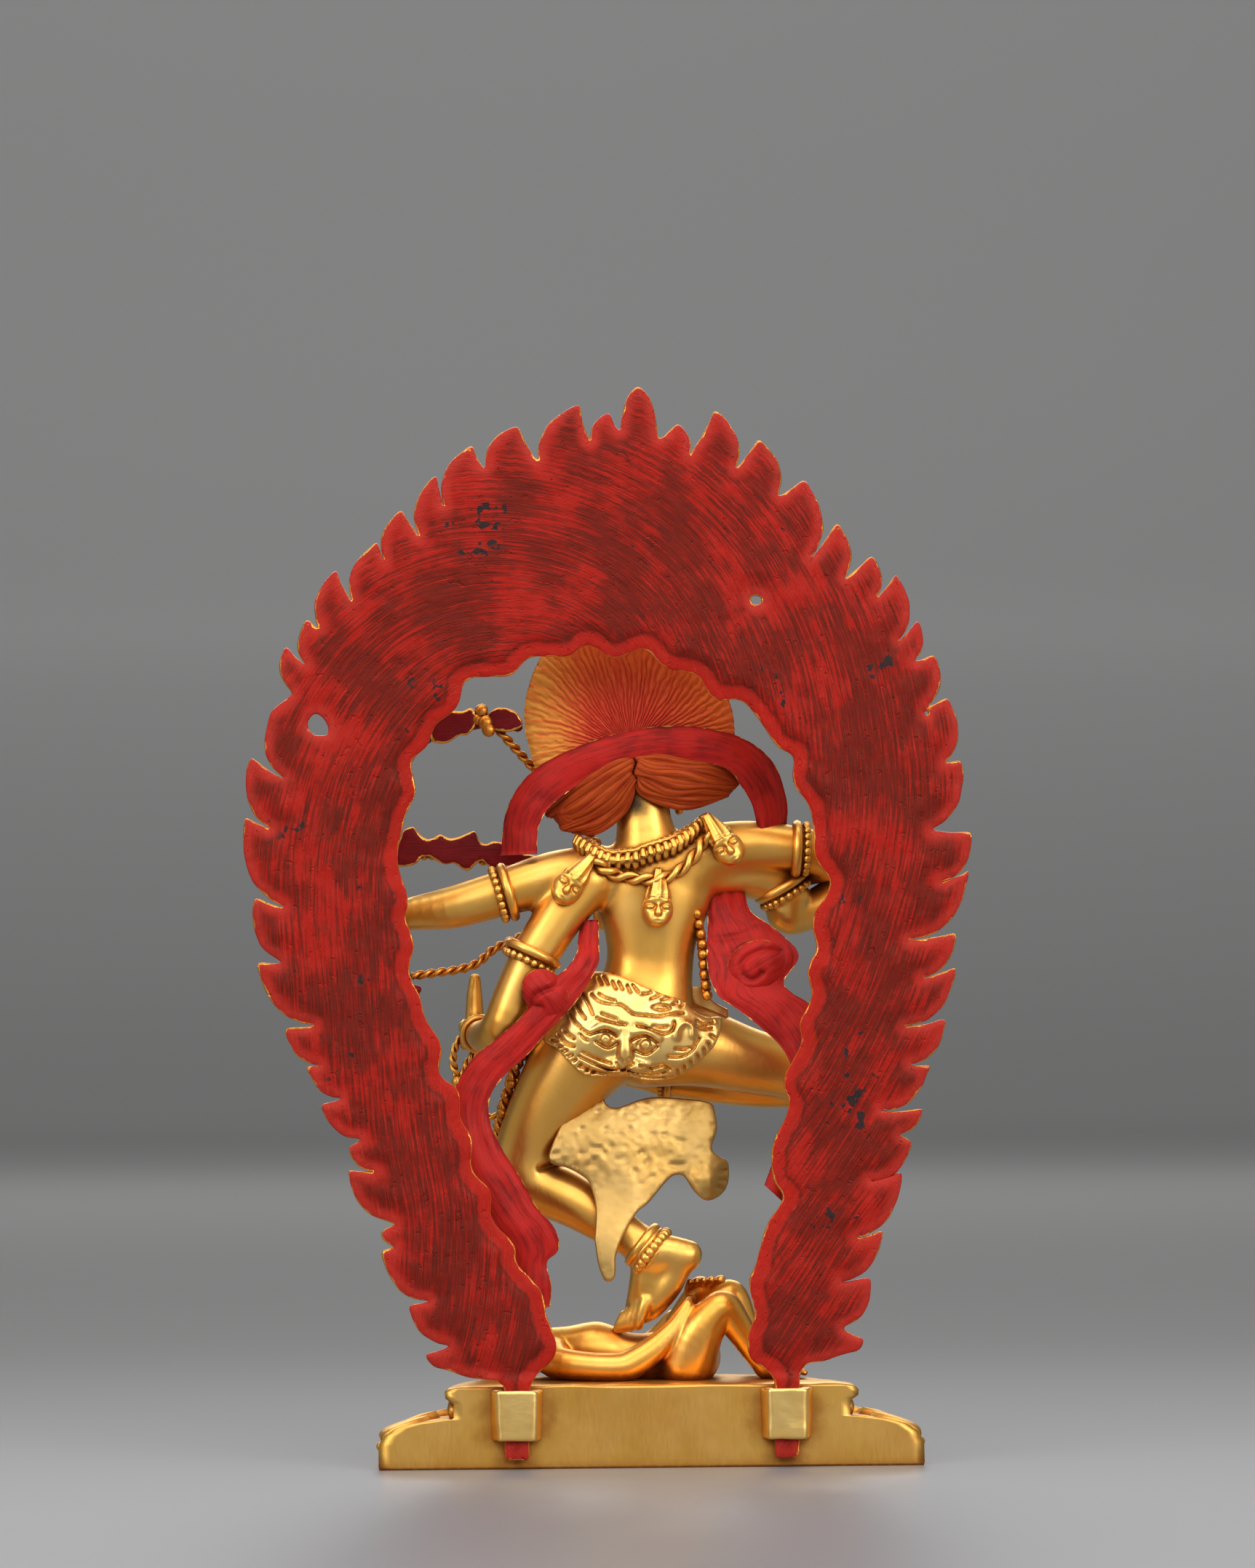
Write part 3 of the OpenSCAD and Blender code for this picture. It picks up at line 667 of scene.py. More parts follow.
def hair_material(name, low, high, left):
    """Orange hair paint: low by the scalp, high at the tips, and left as a painted highlight on the
    flank.
    """
    s = Shade(name)
    tip, flank = s.attribute("tip"), s.attribute("flank")
    stroke = s.attribute("stroke", "Vector")
    thread = s.noise(1.0, stretch=(6, 0.6, 1), detail=4, source=stroke)
    base = s.mix(s.step(s.plus(tip, thread), 0.75, 1.45), low, high)
    # painted highlight: paler threads on the flank
    base = s.mix(s.times(s.step(thread, 0.3, 0.62), flank, True), base, left)
    groove = s.attribute("groove")
    # painted shade in the grooves between the locks
    base = s.mix(s.step(groove, 0.5, 1.0, 0, 0.15), base, (0.26, 0.020, 0.008))
    # painted shade in the recesses
    base = s.mix(s.step(s.hollow(1.5), 0.6, 1.0, 0, 0.3), base, (0.12, 0.015, 0.007))
    s.set(Base_Color=base, Roughness=0.40, Normal=s.bump(thread, 0.10))
    s.soft_shine((1.0, 0.5, 0.3), 0.2)
    return s.mat


def plain_material(name, tone, rough=0.4, metallic=0.0):
    s = Shade(name)
    s.set(Base_Color=s.mix(s.step(s.noise(3), 0.3, 0.7), tone, tuple(0.7 * c for c in tone)),
          Metallic=metallic, Roughness=rough, Normal=s.bump(s.noise(1.2), 0.05))
    return s.mat


GILT = gilt_material("gilt_brass")
GILT_SKIN = gilt_material("gilt_skin", stains=[(1.6, 9.2, 122.8, 3.2)], stain=(0.045, 0.040, 0.036))
GILT_BASE = gilt_material("gilt_plinth", (0.74, 0.41, 0.085), 0.38, 0.9, (0.1, 1, 1.6),
                          [(s * x, 22, z, 3.4) for s in (-1, 1) for x, z in ((19.6, 12.4),
                           (20.2, 8.0), (29.8, 11), (29.6, 6.6))], (0.40, 0.13, 0.025), 0.55)
GILT_BRIGHT = gilt_material("gilt_bright", (0.97, 0.62, 0.19), 0.31, 1.0, (1, 1, 0.3))
GILT_DEEP = gilt_material("gilt_deep", GOLD_DEEP, 0.37, 1.2)
GILT_WARM = gilt_material("gilt_warm", (0.92, 0.43, 0.07), 0.34, 1.2)
# a darker copy of the gilding for the apron, which faces the top lamp: painted shade
GILT_APRON_SHADED = gilt_material("gilt_apron_shaded", (0.56, 0.34, 0.095), 0.44, 1.3, (1, 1, 0.5))
AUREOLE = aureole_material()
SCARF = paint_material("scarf_paint", CRIMSON, (0.10, 0.010, 0.010), streak=0.75, worn=0.5)
BOW_PAINT = paint_material("bow_paint", (0.19, 0.008, 0.012), (0.09, 0.007, 0.009), worn=0.22)
HAIR = hair_material("hair_paint", (0.79, 0.075, 0.042), (0.92, 0.19, 0.045), (1.0, 0.47, 0.085))
NAPE = hair_material("nape_paint", (0.29, 0.022, 0.007), (0.43, 0.048, 0.010), (0.62, 0.125, 0.020))
COPPER = plain_material("copper_sheet", (0.60, 0.20, 0.10), 0.38, 1.0)

# ---------------------------------------------------------------- where things are

# y of the faces of the aureole's plate, z of its tangs' ends
(_, FRONT, TANG_Z), (_, BACK, _) = corners("flame_aureole")
# y of the plinth's flat back wall, z of its top, and its depth from wall to front
(_, PLINTH_FRONT, _), (_, WALL, TOP_Z) = corners("plinth")
PLINTH_D = WALL - PLINTH_FRONT
SOCKET_X = [round(float(sum(c[0] for c in corners(name))) / 2, 2)
            for name in ("socket_left", "socket_right")]
VIEW_DISTANCE = 1070
EYE = (64.0, BACK + VIEW_DISTANCE, 95.0)  # the viewer, behind the statue at half its height


def seen(x, z, y):
    """The point at depth y that hides (x, z) of the aureole's back face from the viewer."""
    k = (BACK - y) / (EYE[1] - BACK)
    return [x + (x - EYE[0]) * k, y, z + (z - EYE[2]) * k]


def seen_all(points):
    """Rows (x, z, y, ...) as seen, turned into rows (x, y, z, ...) in space."""
    return np.array([seen(*p[:3]) + list(p[3:]) for p in points], float)


def into_view(verts):
    """Rows (x, y, z) whose x and z are as seen, turned into rows in space."""
    return seen_all(verts[:, [0, 2, 1]])


# ---------------------------------------------------------------- the aureole

# Its outline as (x, z) rows, seen from behind: for each flame the valley above it, then its tip,
# from the crest down; FOOT is the end of each leg, ARCH the inner edge, HOLES (x, z, radii)
CREST = [(1.5, 200)]
FLAMES_LEFT = [[(5, 191), (7, 195)], [(10.5, 189), (12.5, 196.5)], [(20, 185.5), (24, 192.5)],
    [(30, 184), (32.5, 189)], [(37.5, 177), (39, 183.5)], [(42, 171.5), (45.5, 177)],
    [(48.5, 167), (50, 171)], [(54.5, 159.5), (57.5, 166)], [(60.5, 154.5), (63, 157)],
    [(63, 148), (67, 152)], [(65.5, 143), (69.5, 140)], [(67, 127), (73.5, 131.5)],
    [(69.5, 118), (74.5, 120.5)], [(67, 103.5), (73, 105.5)], [(67.5, 93.5), (72.5, 93.5)],
    [(61.5, 82), (67.5, 81.5)], [(60.5, 74.5), (63.5, 74.5)], [(56.5, 68.5), (61, 67.5)],
    [(53, 61), (56, 59.5)], [(50.5, 55), (56, 55.5)], [(47, 45.5), (50, 44)],
    [(47, 41), (50, 40.5)], [(40.5, 31), (45, 30.5)], [(37, 23), (42, 21.5)]]
FLAMES_RIGHT = [[(-2, 189.5), (-5.5, 193)], [(-7.5, 186.5), (-12.5, 195.5)],
    [(-16, 184), (-20.5, 190)], [(-24, 179), (-29, 182.5)], [(-30, 167.5), (-35, 174.5)],
    [(-36, 163.5), (-41.5, 168.5)], [(-42, 160), (-46, 165)], [(-46, 152), (-50, 156.5)],
    [(-49, 148.5), (-53, 150)], [(-51.5, 140), (-55.5, 142)], [(-54.5, 129.5), (-58, 130.5)],
    [(-52, 117.5), (-60, 117)], [(-53.5, 107.5), (-59.5, 110)], [(-47.5, 97), (-57, 98.5)],
    [(-50, 90), (-57, 92)], [(-46.5, 81), (-55, 82.5)], [(-47.5, 74), (-52, 74)],
    [(-42, 65.5), (-50.5, 66)], [(-45.5, 61), (-48.5, 60)], [(-40, 52.5), (-46.5, 54.5)],
    [(-37.5, 42), (-43, 43.5)], [(-34.5, 34), (-40.5, 35)], [(-35, 25.5), (-39.5, 23.5)]]
TANG = 2.25                       # half width of a tang
FOOT_LEFT = [(38, 18.5), (34, 17), (28.6, 16.4), (27.4, 15.4)]
FOOT_RIGHT = [(-36.5, 21), (-32, 19.5), (-28, 18.8), (-27.2, 17.4)]
ARCH = [(22.4, 15.5), (21.4, 17.2), (18.5, 20), (17.5, 23), (19.5, 28.5), (20.5, 33), (25, 38),
    (25, 41), (29.5, 46), (29.5, 51), (33, 55), (33, 61), (35, 64), (35.5, 70), (39, 72.5),
    (38.5, 78), (41.5, 83), (42.5, 87.5), (44.5, 91.5), (43.5, 97), (45, 101), (44.5, 105),
    (46.5, 112), (45, 120), (43, 125), (44, 130), (41, 133), (39.5, 137), (35.5, 140),
    (34, 145), (30, 146), (25.5, 146), (22, 149.5), (15, 149.5), (11, 152), (6.5, 149), (1, 151),
    (-3, 147.5), (-9, 146), (-12, 141.5), (-17, 141.5), (-21, 137), (-23.5, 133), (-27, 131),
    (-26.5, 126.5), (-30, 121), (-30.5, 112.5), (-33.5, 107.5), (-30, 101), (-31, 95.5),
    (-29, 91.5), (-30, 86.5), (-27.5, 82), (-28, 78), (-24.5, 71.5), (-25.5, 66), (-22.5, 59.5),
    (-22.5, 53), (-24.5, 49.5), (-21, 44), (-19.5, 38), (-18, 34), (-19, 28), (-17.5, 23.5),
    (-18.5, 19.5), (-21.6, 17.6), (-22.5, 16)]
HOLES = [(61, 137, 2.4, 1.5), (-20, 160, 1.1, 0.75), (-51.5, 139, 0.4, 0.3)]


def tongue_side(a, b, bow, peak, n=8):
    """Points from a to b on a curve that swells by bow of its length, most at peak."""
    a, b = np.array(a, float), np.array(b, float)
    t = np.linspace(0, 1, n, endpoint=False)[:, None]
    swell = 4 * t * (1 - t) * (1 + 1.2 * (peak - 0.5) * (2 * t - 1))
    normal = np.array([b[1] - a[1], a[0] - b[0]])
    return a + (b - a) * t + normal * bow * swell


def flank(flames, last, s):
    """The edge of a row of flames, each from its valley over its tip to the next valley."""
    out = []
    for i, (valley, tip) in enumerate(flames):
        after = flames[i + 1][0] if i + 1 < len(flames) else last
        out += [tongue_side(valley, tip, 0.04 * s, 0.3), tongue_side(tip, after, -0.20 * s, 0.72)]
    return np.vstack(out)


def tang(x):
    """The foot of the tang in the middle of x, with its corners a little uneven."""
    return rows((x + TANG, TANG_Z), (x + TANG - 0.4, TANG_Z - 0.3), (x - TANG + 0.3, TANG_Z - 0.2),
                (x - TANG, TANG_Z + 0.2))


def aureole_outline():
    left = flank(FLAMES_LEFT, FOOT_LEFT[0], 1)
    right = flank(FLAMES_RIGHT, FOOT_RIGHT[0], -1)[::-1]
    top = tongue_side(CREST[0], FLAMES_LEFT[0][0], -0.12, 0.2)
    top_right = tongue_side(CREST[0], FLAMES_RIGHT[0][0], 0.10, 0.2)[1:][::-1]
    arch = spline(ARCH, 4)
    line = np.vstack([top, left, rows(*FOOT_LEFT), tang(SOCKET_X[0]), arch, tang(SOCKET_X[1]),
                      rows(*FOOT_RIGHT[::-1]), right, top_right])
    line = even(np.vstack([line, line[:1]]), 0.75)[:-1]
    soft = line
    for _ in range(2):
        soft = 0.25 * np.roll(soft, 1, 0) + 0.5 * soft + 0.25 * np.roll(soft, -1, 0)
    at = with_column(line, 0.0)
    wobble = np.column_stack([lumps(at, 2.2, 3), lumps(at, 2.2, 4)]) * 0.16
    keep = (line[:, 1] > 16)[:, None]
    return np.where(keep, soft + wobble, line)


def ring_line():
    """The middle of the aureole's band, from the foot of the left leg over to the right."""
    return spline([(28, 10), (30, 25), (37, 45), (47, 65), (54, 90), (58, 115), (54, 140),
                   (42, 160), (22, 172), (0, 174), (-20, 166), (-37, 148), (-46, 122), (-44, 95),
                   (-38, 70), (-32, 48), (-29, 28), (-27, 10)], 10)


def along_ring(xz):
    """Distance along the band and across it for the rows of (x, z)."""
    line = ring_line()
    run = lengths(line)
    near = np.argmin(((xz[:, None] - line[None]) ** 2).sum(-1), 1)
    t = np.gradient(line, axis=0)
    t /= np.linalg.norm(t, axis=1)[:, None]
    off = xz - line[near]
    return run[near] + (off * t[near]).sum(1), off[:, 0] * t[near, 1] - off[:, 1] * t[near, 0]


def add_value(ob, name, values):
    """A number, or a vector, on each vertex."""
    values = np.asarray(values, np.float32)
    kind, field = ("FLOAT_VECTOR", "vector") if values.ndim == 2 else ("FLOAT", "value")
    ob.data.attributes.new(name, kind, "POINT").data.foreach_set(field, values.ravel())


def make_aureole():
    """The flame plate: brushed red paint behind, carved and gilt in front."""
    outline = aureole_outline()
    arch = spline(ARCH, 4)
    holes = []
    for x, z, rx, rz in HOLES:
        a = np.arange(22) * 2 * math.pi / 22
        r = 1 + 0.12 * np.sin(2 * a + x) + 0.07 * np.sin(3 * a)
        lean = math.radians(60 if rx > 2 else 0)
        u, v = rx * r * np.cos(a), rz * r * np.sin(a)
        holes.append(np.column_stack([x + u * math.cos(lean) - v * math.sin(lean),
                                      z + u * math.sin(lean) + v * math.cos(lean)]))

    def fade(xz, dist):
        return np.clip((xz[:, 1] - 17) / 3, 0, 1) * np.clip(dist / 1.2, 0, 1)

    def front(xz, dist):
        s, t = along_ring(xz)
        lick = np.sin(s * 0.62 + 0.05 * t * np.abs(t) + 1.4 * np.sin(0.21 * s))
        carve = 0.45 + 0.45 * lick + 0.12 * np.sin(2.1 * s + 0.8 * t)
        return FRONT + 0.9 * np.clip(carve, 0, 1) * fade(xz, dist)

    def back(xz, dist):
        p = with_column(xz, 0.0)
        dents = 0.34 * lumps(p, 6, 1) + 0.24 * lumps(p, 2.6, 2)
        thin = 0.45 * np.clip(1 - (dist - 1) / 3.5, 0, 1)
        step_in = 0.35 * np.clip((3.4 - edge_distance_fast(xz, arch)) / 0.5, 0, 1)
        y = BACK - 0.2 + 0.40 * dents - thin - step_in
        return np.where(xz[:, 1] > 17, y, BACK)

    mesh, away = plate(outline, holes, 0.95, front, back, 0.3)
    ob = piece("flame_aureole", mesh, AUREOLE, "aureole")
    v = mesh[0]
    s, t = along_ring(v[:, [0, 2]])
    lean = t + 0.33 * s + 6 * np.sin(s / 31)
    add_value(ob, "stroke", np.column_stack([s, lean, np.zeros(len(s))]) * MM)
    add_value(ob, "away", away)
    add_value(ob, "inner", edge_distance_fast(v[:, [0, 2]], arch))
    add_value(ob, "front", (v[:, 1] < (FRONT + BACK) / 2 - 0.1).astype(float))
    return ob


# ---------------------------------------------------------------- the plinth

PLAN_POWER = 0.92                 # how full the half oval of its plan is
# Half width and height of the steps, with how far the front wall stands in from full depth
STEPS = [(50.2, 0.0, 0.3), (50.4, 0.5, 0.1), (50.4, 4.4, 0.0), (49.3, 6.3, 1.0), (47.2, 7.7, 2.4),
         (44.6, 8.4, 4.4), (40.0, 9.0, 7.2), (36.9, 9.2, 9.2), (36.6, 9.5, 9.3), (36.6, 12.0, 9.3),
         (37.2, 12.5, 8.7), (38.1, 13.1, 8.0), (38.2, 14.2, 7.9), (37.5, 14.8, 8.6),
         (36.2, 15.0, 9.8)]


def d_shape(hw, depth, n=44, back=WALL):
    """Points round a half-oval plan: along the flat back, then round the front."""
    a = np.linspace(0, math.pi, n)
    front = np.column_stack([hw * np.cos(a), back - depth * np.sin(a) ** PLAN_POWER])
    x = np.linspace(-hw, hw, 40)[1:-1]
    return np.vstack([front, np.column_stack([x, np.full(38, back)])])


def loft(rings):
    """Rings of equal length joined into a closed skin."""
    n = len(rings[0])
    verts = np.vstack(rings)
    faces = []
    for k in range(len(rings) - 1):
        i = np.arange(n)
        j = (i + 1) % n
        faces += list(np.stack([k * n + i, k * n + j, (k + 1) * n + j, (k + 1) * n + i], 1))
    faces += [np.arange(n)[::-1], (len(rings) - 1) * n + np.arange(n)]
    return verts, faces


def make_plinth():
    """The hollow two-tier casting, the sheet that closes it and its chisel marks."""
    rings = []
    for hw, z, inset_by in STEPS:
        p = d_shape(hw, PLINTH_D - inset_by)
        ring = with_column(p, z)
        if z > 12:
            ring[:, 2] += 0.28 * lumps(ring * (1, 1, 0), 9, 5) * np.clip((z - 12) / 2, 0, 1)
        ring[:, :2] += np.column_stack([0.12 * lumps(ring, 5, 7)] * 2) * (z > 1)
        wall = p[:, 1] > WALL - 0.01
        ring[wall, 1] = WALL - 0.05 + 0.10 * lumps(ring[wall], 11, 8)
        rings.append(ring)
    for hw, z, inset_by in ((34, 15.25, 12.5), (24, 15.3, 22), (8, 15.3, 36)):
        p = d_shape(hw, PLINTH_D - inset_by, back=WALL - (36.2 - hw) * 0.3)
        rings.append(np.column_stack([p, z + 0.2 * lumps(np.column_stack([p, p[:, 0]]), 4, 3)]))
    under = []
    for hw, z, y in ((47.2, 0.0, 2.9), (47.0, 0.9, 3.0), (46.4, 1.0, 3.2)):
        under.append(with_column(d_shape(hw, PLINTH_D - 2 * y, back=WALL - 2.6), z))
    for hw, z, depth in ((46.0, 6.0, 34), (33.6, 7.0, 26), (33.6, 12.0, 26)):
        under.append(with_column(d_shape(hw, depth, back=WALL - 2.6), z))
    piece("plinth", loft(under[::-1] + rings), GILT_BASE)
    p = d_shape(46.9, PLINTH_D - 6.2, back=WALL - 2.7)
    sheet = loft([with_column(p, z) for z in (0.05, 0.8)])
    piece("seal_plate", sheet, COPPER, smooth=False)
    p = d_shape(45.4, PLINTH_D - 9.6, back=WALL - 4.4)
    marks = [(x, y, 0.15) for x, y in p[::2]]
    piece("seal_chisel_marks", beads(np.array(marks), 0.55, (1, 1, 0.5), 4, 6), GILT_BASE, added=True)


def petal(base, out, width, height, bulge, lean, sink=0.0):
    """A lotus petal standing at base, bulging along out; a raised rim and a midrib."""
    nu, nv = 17, 15
    u, v = np.meshgrid(np.linspace(-1, 1, nu), np.linspace(0, 1, nv), indexing="ij")
    shape = np.clip(1 - v ** 3.2, 0.0, 1) ** 0.55 * (0.86 + 0.14 * np.sin(v * math.pi))
    across = np.array([-out[1], out[0], 0])
    swell = bulge * (1 - u ** 2) ** 0.7 * np.sin(math.pi * np.clip(0.15 + v * 0.85, 0, 1)) ** 0.8
    rim = 0.35 * np.exp(-((np.maximum(np.abs(u), v) - 0.86) / 0.09) ** 2)
    rib = 0.22 * np.exp(-(u / 0.12) ** 2) * (v < 0.9)
    curl = lean * v ** 2.2
    off = swell + rim + rib + curl
    xy = (base[None, None, :] + across * (u * width * shape)[..., None]
          + np.array([out[0], out[1], 0]) * off[..., None])
    xy[..., 2] += v * height
    inner = xy - np.array([out[0], out[1], 0]) * 1.4 - np.array([0, 0, sink])
    verts = np.vstack([xy.reshape(-1, 3), inner.reshape(-1, 3)])
    return verts, both_faces(nu, nv)


def petal_ring(count, hw, depth, z, width, height, bulge, lean, start=7, sink=0.0):
    out = []
    for i in range(count):
        a = math.radians(start + (180 - 2 * start) * i / (count - 1))
        base = np.array([hw * math.cos(a), WALL - depth * math.sin(a) ** PLAN_POWER, z])
        away = unit([math.cos(a) / hw, -math.sin(a) / depth, 0])
        out.append(petal(base, away, width, height, bulge, lean, sink))
    return out


def make_petals():
    """Both lotus bands and the row of pearls under the lower one."""
    low = petal_ring(14, 48.9, 38.9, 5.1, 5.3, 4.6, 2.0, -7.4, sink=2.4)
    low += petal_ring(13, 47.6, 37.6, 5.7, 4.0, 4.6, 1.3, -7.0, start=13.5, sink=2.4)
    piece("lotus_petals_lower", low, GILT)
    high = petal_ring(13, 36.6, 31.0, 9.3, 4.2, 3.6, 1.2, 0.2, start=9)
    piece("lotus_petals_upper", high, GILT)
    a = np.linspace(math.radians(3), math.radians(177), 110)
    pearls = with_column(np.column_stack([50.0 * np.cos(a), WALL - 40.7 * np.sin(a) ** PLAN_POWER]),
                         4.2)
    piece("plinth_pearls", beads(even(pearls, 2.1), 0.85), GILT, added=True)


def make_sockets():
    """The two straps on the back wall, each with a slot for a tang."""
    for name, x in zip(("socket_left", "socket_right"), SOCKET_X):
        def field(p, x=x):
            q = p - (x, 0, 0)
            w = 4.75 - 1.0 * np.clip((q[:, 1] - WALL) / 4, 0, 1) + 0.035 * (q[:, 2] - 10)
            side = np.abs(q[:, 0]) - w
            body = smax(smax(side, q[:, 1] - 26.2, 1.2), WALL - 0.6 - q[:, 1], 0.1)
            body = smax(smax(body, q[:, 2] - 14.7, 0.5), 5.3 - q[:, 2], 0.5)
            slot = np.maximum(np.abs(q[:, 0]) - 2.6, q[:, 1] - 25.0)
            return smax(body + 0.14 * lumps(p, 2.5, 4), -slot, 0.2)
        cast(name, field, (x - 6, 20.5, 4.5), (x + 6, 27.2, 15.5), 0.24, GILT_BRIGHT)


# ---------------------------------------------------------------- stage

# floor bands of painted light and shade: lighter far off, a shade band just behind the statue, lighter
# under it and towards the viewer
FLOOR_FAR_PAINTED_LIGHT = (0.200, 0.199, 0.198)
FLOOR_PAINTED_SHADE = (0.104, 0.104, 0.103)
FLOOR_PAINTED_LIGHT = (0.252, 0.253, 0.262)
WALL_TONE = (0.230, 0.230, 0.229)
FLOOR_REACH = 6000


def make_stage():
    """A pale floor that sweeps up into a grey wall behind the statue, as the viewer sees it."""
    profile = [(FLOOR_REACH, 0), (2500, 0), (900, 0), (300, 0), (0, 0), (-500, 0), (-1200, 0),
               (-1700, 0), (-1900, 20), (-2080, 90), (-2200, 220), (-2250, 400),
               (-2260, 900), (-2260, 2600)]
    line = spline(profile, 6)
    verts = np.array([(x, y, z) for y, z in line for x in (-FLOOR_REACH, FLOOR_REACH)]) * MM
    n = len(line)
    faces = [(2 * i, 2 * i + 1, 2 * i + 3, 2 * i + 2) for i in range(n - 1)]
    mesh = bpy.data.meshes.new("floor")
    mesh.from_pydata([tuple(v) for v in verts], [], faces)
    mesh.polygons.foreach_set("use_smooth", [True] * len(faces))
    s = Shade("floor_card")
    split = s.node("SeparateXYZ", {0: s.coord})
    depth, height = split.outputs["Y"], split.outputs["Z"]
    # painted light and shade: the floor's tone changes with depth
    tone = s.mix(s.step(depth, -1.3, -0.35), FLOOR_FAR_PAINTED_LIGHT, FLOOR_PAINTED_SHADE)
    tone = s.mix(s.step(depth, -0.35, 0.1), tone, FLOOR_PAINTED_LIGHT)
    tone = s.mix(s.step(height, 0.03, 0.45), tone, WALL_TONE)
    s.set(Base_Color=tone, Roughness=0.4)
    s.bsdf.inputs["Specular IOR Level"].default_value = 0.3
    mesh.materials.append(s.mat)
    floor = bpy.data.objects.new("floor", mesh)
    bpy.context.scene.collection.objects.link(floor)
    bpy.context.scene.view_settings.view_transform = "Standard"


STATUE_MIDDLE = (5, 10, 95)


def soft_light(name, size, power, place, target=STATUE_MIDDLE):
    """A square lamp of size (width, height) mm and power watts, aimed at target."""
    data = bpy.data.lights.new(name, "AREA")
    data.shape = "RECTANGLE"
    data.size, data.size_y = size[0] * MM, size[1] * MM
    data.energy = power
    ob = bpy.data.objects.new(name, data)
    ob.location = Vector(place) * MM
    ob.rotation_euler = (Vector(place) - Vector(target)).to_track_quat("Z", "Y").to_euler()
    bpy.context.scene.collection.objects.link(ob)


def make_lights():
    soft_light("top_softbox", (1100, 900), 6.5, (60, 350, 1050))
    soft_light("left_softbox", (900, 1000), 12.0, (1450, 1300, 850))
    soft_light("right_softbox", (800, 1000), 14.0, (-1300, 1450, 850))
    soft_light("viewer_fill", (2200, 1200), 16.0, (0, 2600, 1350))
    soft_light("front_fill", (1200, 700), 7.0, (0, -1300, 850))
    soft_light("wall_light", (2400, 500), 12.0, (0, -900, 1500), (0, -2300, 500))
    world = bpy.data.worlds.new("studio")
    bpy.context.scene.world = world
    world.use_nodes = True
    world.node_tree.nodes["Background"].inputs["Color"].default_value = (0.36, 0.36, 0.36, 1)
    world.node_tree.nodes["Background"].inputs["Strength"].default_value = 1.0


FOCAL_LENGTH = 133.5
AIM = (4.08, BACK, 126.0)         # the middle of the view, above the middle of the statue
CAMERA_ROLL = -0.3                # degrees


def make_camera():
    data = bpy.data.cameras.new("camera")
    data.sensor_width, data.lens = 36.0, FOCAL_LENGTH
    data.clip_start, data.clip_end = 0.05, 20
    ob = bpy.data.objects.new("camera", data)
    eye, target = Vector(EYE) * MM, Vector(AIM) * MM
    ob.location = eye
    aim = (eye - target).to_track_quat("Z", "Y")
    ob.rotation_euler = (aim.to_matrix() @ Matrix.Rotation(math.radians(CAMERA_ROLL), 3, "Z")).to_euler()
    bpy.context.scene.collection.objects.link(ob)
    bpy.context.scene.camera = ob


# ---------------------------------------------------------------- clay helpers

def as_seen(p):
    """The (x, z) at the aureole's back face where the viewer sees each row of p."""
    k = (BACK - p[:, 1]) / (EYE[1] - BACK)
    return np.column_stack([(p[:, 0] + EYE[0] * k) / (1 + k), (p[:, 2] + EYE[2] * k) / (1 + k)])


def strokes(xz, lines, width, steps=3):
    """1 on the middle of the drawn lines, fading to 0 over width."""
    out = np.zeros(len(xz))
    lo, hi = xz.min(0) - 3 * width, xz.max(0) + 3 * width
    for line in lines:
        s = spline(line, steps) if len(line) > 2 else np.array(line, float)
        if (s.max(0) < lo).any() or (s.min(0) > hi).any():
            continue
        d = np.full(len(xz), 1e9)
        for a, b in zip(s[:-1], s[1:]):
            ab = b - a
            t = np.clip((xz - a) @ ab / (ab @ ab + 1e-12), 0, 1)
            d = np.minimum(d, ((xz - a - t[:, None] * ab) ** 2).sum(1))
        out = np.maximum(out, np.exp(-d / width ** 2))
    return out


SMALL_BLOCK, FAR_OFF = 45, 9.0


class Limb:
    """Round cones through stations (x, y, z, r) on a smooth curve."""

    def __init__(self, stations, steps=4, k=0.0):
        self.s = spline(stations, steps) if steps > 1 else np.array(stations, float)
        self.k = k

    def __call__(self, p):
        lo, hi = p.min(0) - 4 - self.k, p.max(0) + 4 + self.k
        small = (hi - lo).max() < SMALL_BLOCK   # then only the stations near it count
        d = np.full(len(p), FAR_OFF if small else 1e9)
        for a, b in zip(self.s[:-1], self.s[1:]):
            r = max(a[3], b[3])
            if small and ((np.maximum(a, b)[:3] + r < lo).any()
                          or (np.minimum(a, b)[:3] - r > hi).any()):
                continue
            ab = b[:3] - a[:3]
            t = np.clip((p - a[:3]) @ ab / (ab @ ab + 1e-12), 0, 1)
            e = p - a[:3] - t[:, None] * ab
            e = np.sqrt((e * e).sum(1)) - (a[3] + (b[3] - a[3]) * t)
            d = smin(d, e, self.k) if self.k else np.minimum(d, e)
        return d


def join(p, parts, k):
    """Smooth union of fields."""
    d = parts[0](p)
    for part in parts[1:]:
        d = smin(d, part(p), k)
    return d


def fist(c, grip, knuckles, size=1.0, thumb=1):
    """Four fingers and a thumb closed round a shaft at c that runs along grip."""
    c, g, n = np.array(c, float), unit(grip), unit(knuckles)
    w = np.cross(g, n) * thumb
    out = []
    for i, long in enumerate((0.92, 1.0, 1.0, 0.85)):
        mid = c + g * (i - 1.5) * 1.55 * size
        turnings = [(10, 2.6, 0.95), (55, 2.5, 0.9), (105, 2.2, 0.85), (160, 1.95, 0.8),
                    (205 * long, 1.8, 0.72)]
        out.append(Limb([[*(mid + size * r * (n * math.cos(math.radians(a))
                                              + w * math.sin(math.radians(a)))), q * size]
                         for a, r, q in turnings], 3))
    across = [c + size * (n * 2.0 - w * 0.6) + g * t * size for t in (-2.3, -0.7, 0.7, 2.3)]
    out.append(Limb([[*q, 1.5 * size] for q in across], 1))
    root = c + size * (-w * 1.6 + n * 0.8 + g * 2.4)
    tip = c + size * (w * 1.7 - n * 1.3 + g * 1.9)
    mid = c + size * (-n * 2.4 - w * 0.4 + g * 2.4)
    out.append(Limb([[*root, 1.1 * size], [*mid, 0.9 * size], [*tip, 0.75 * size]], 4))
    return out


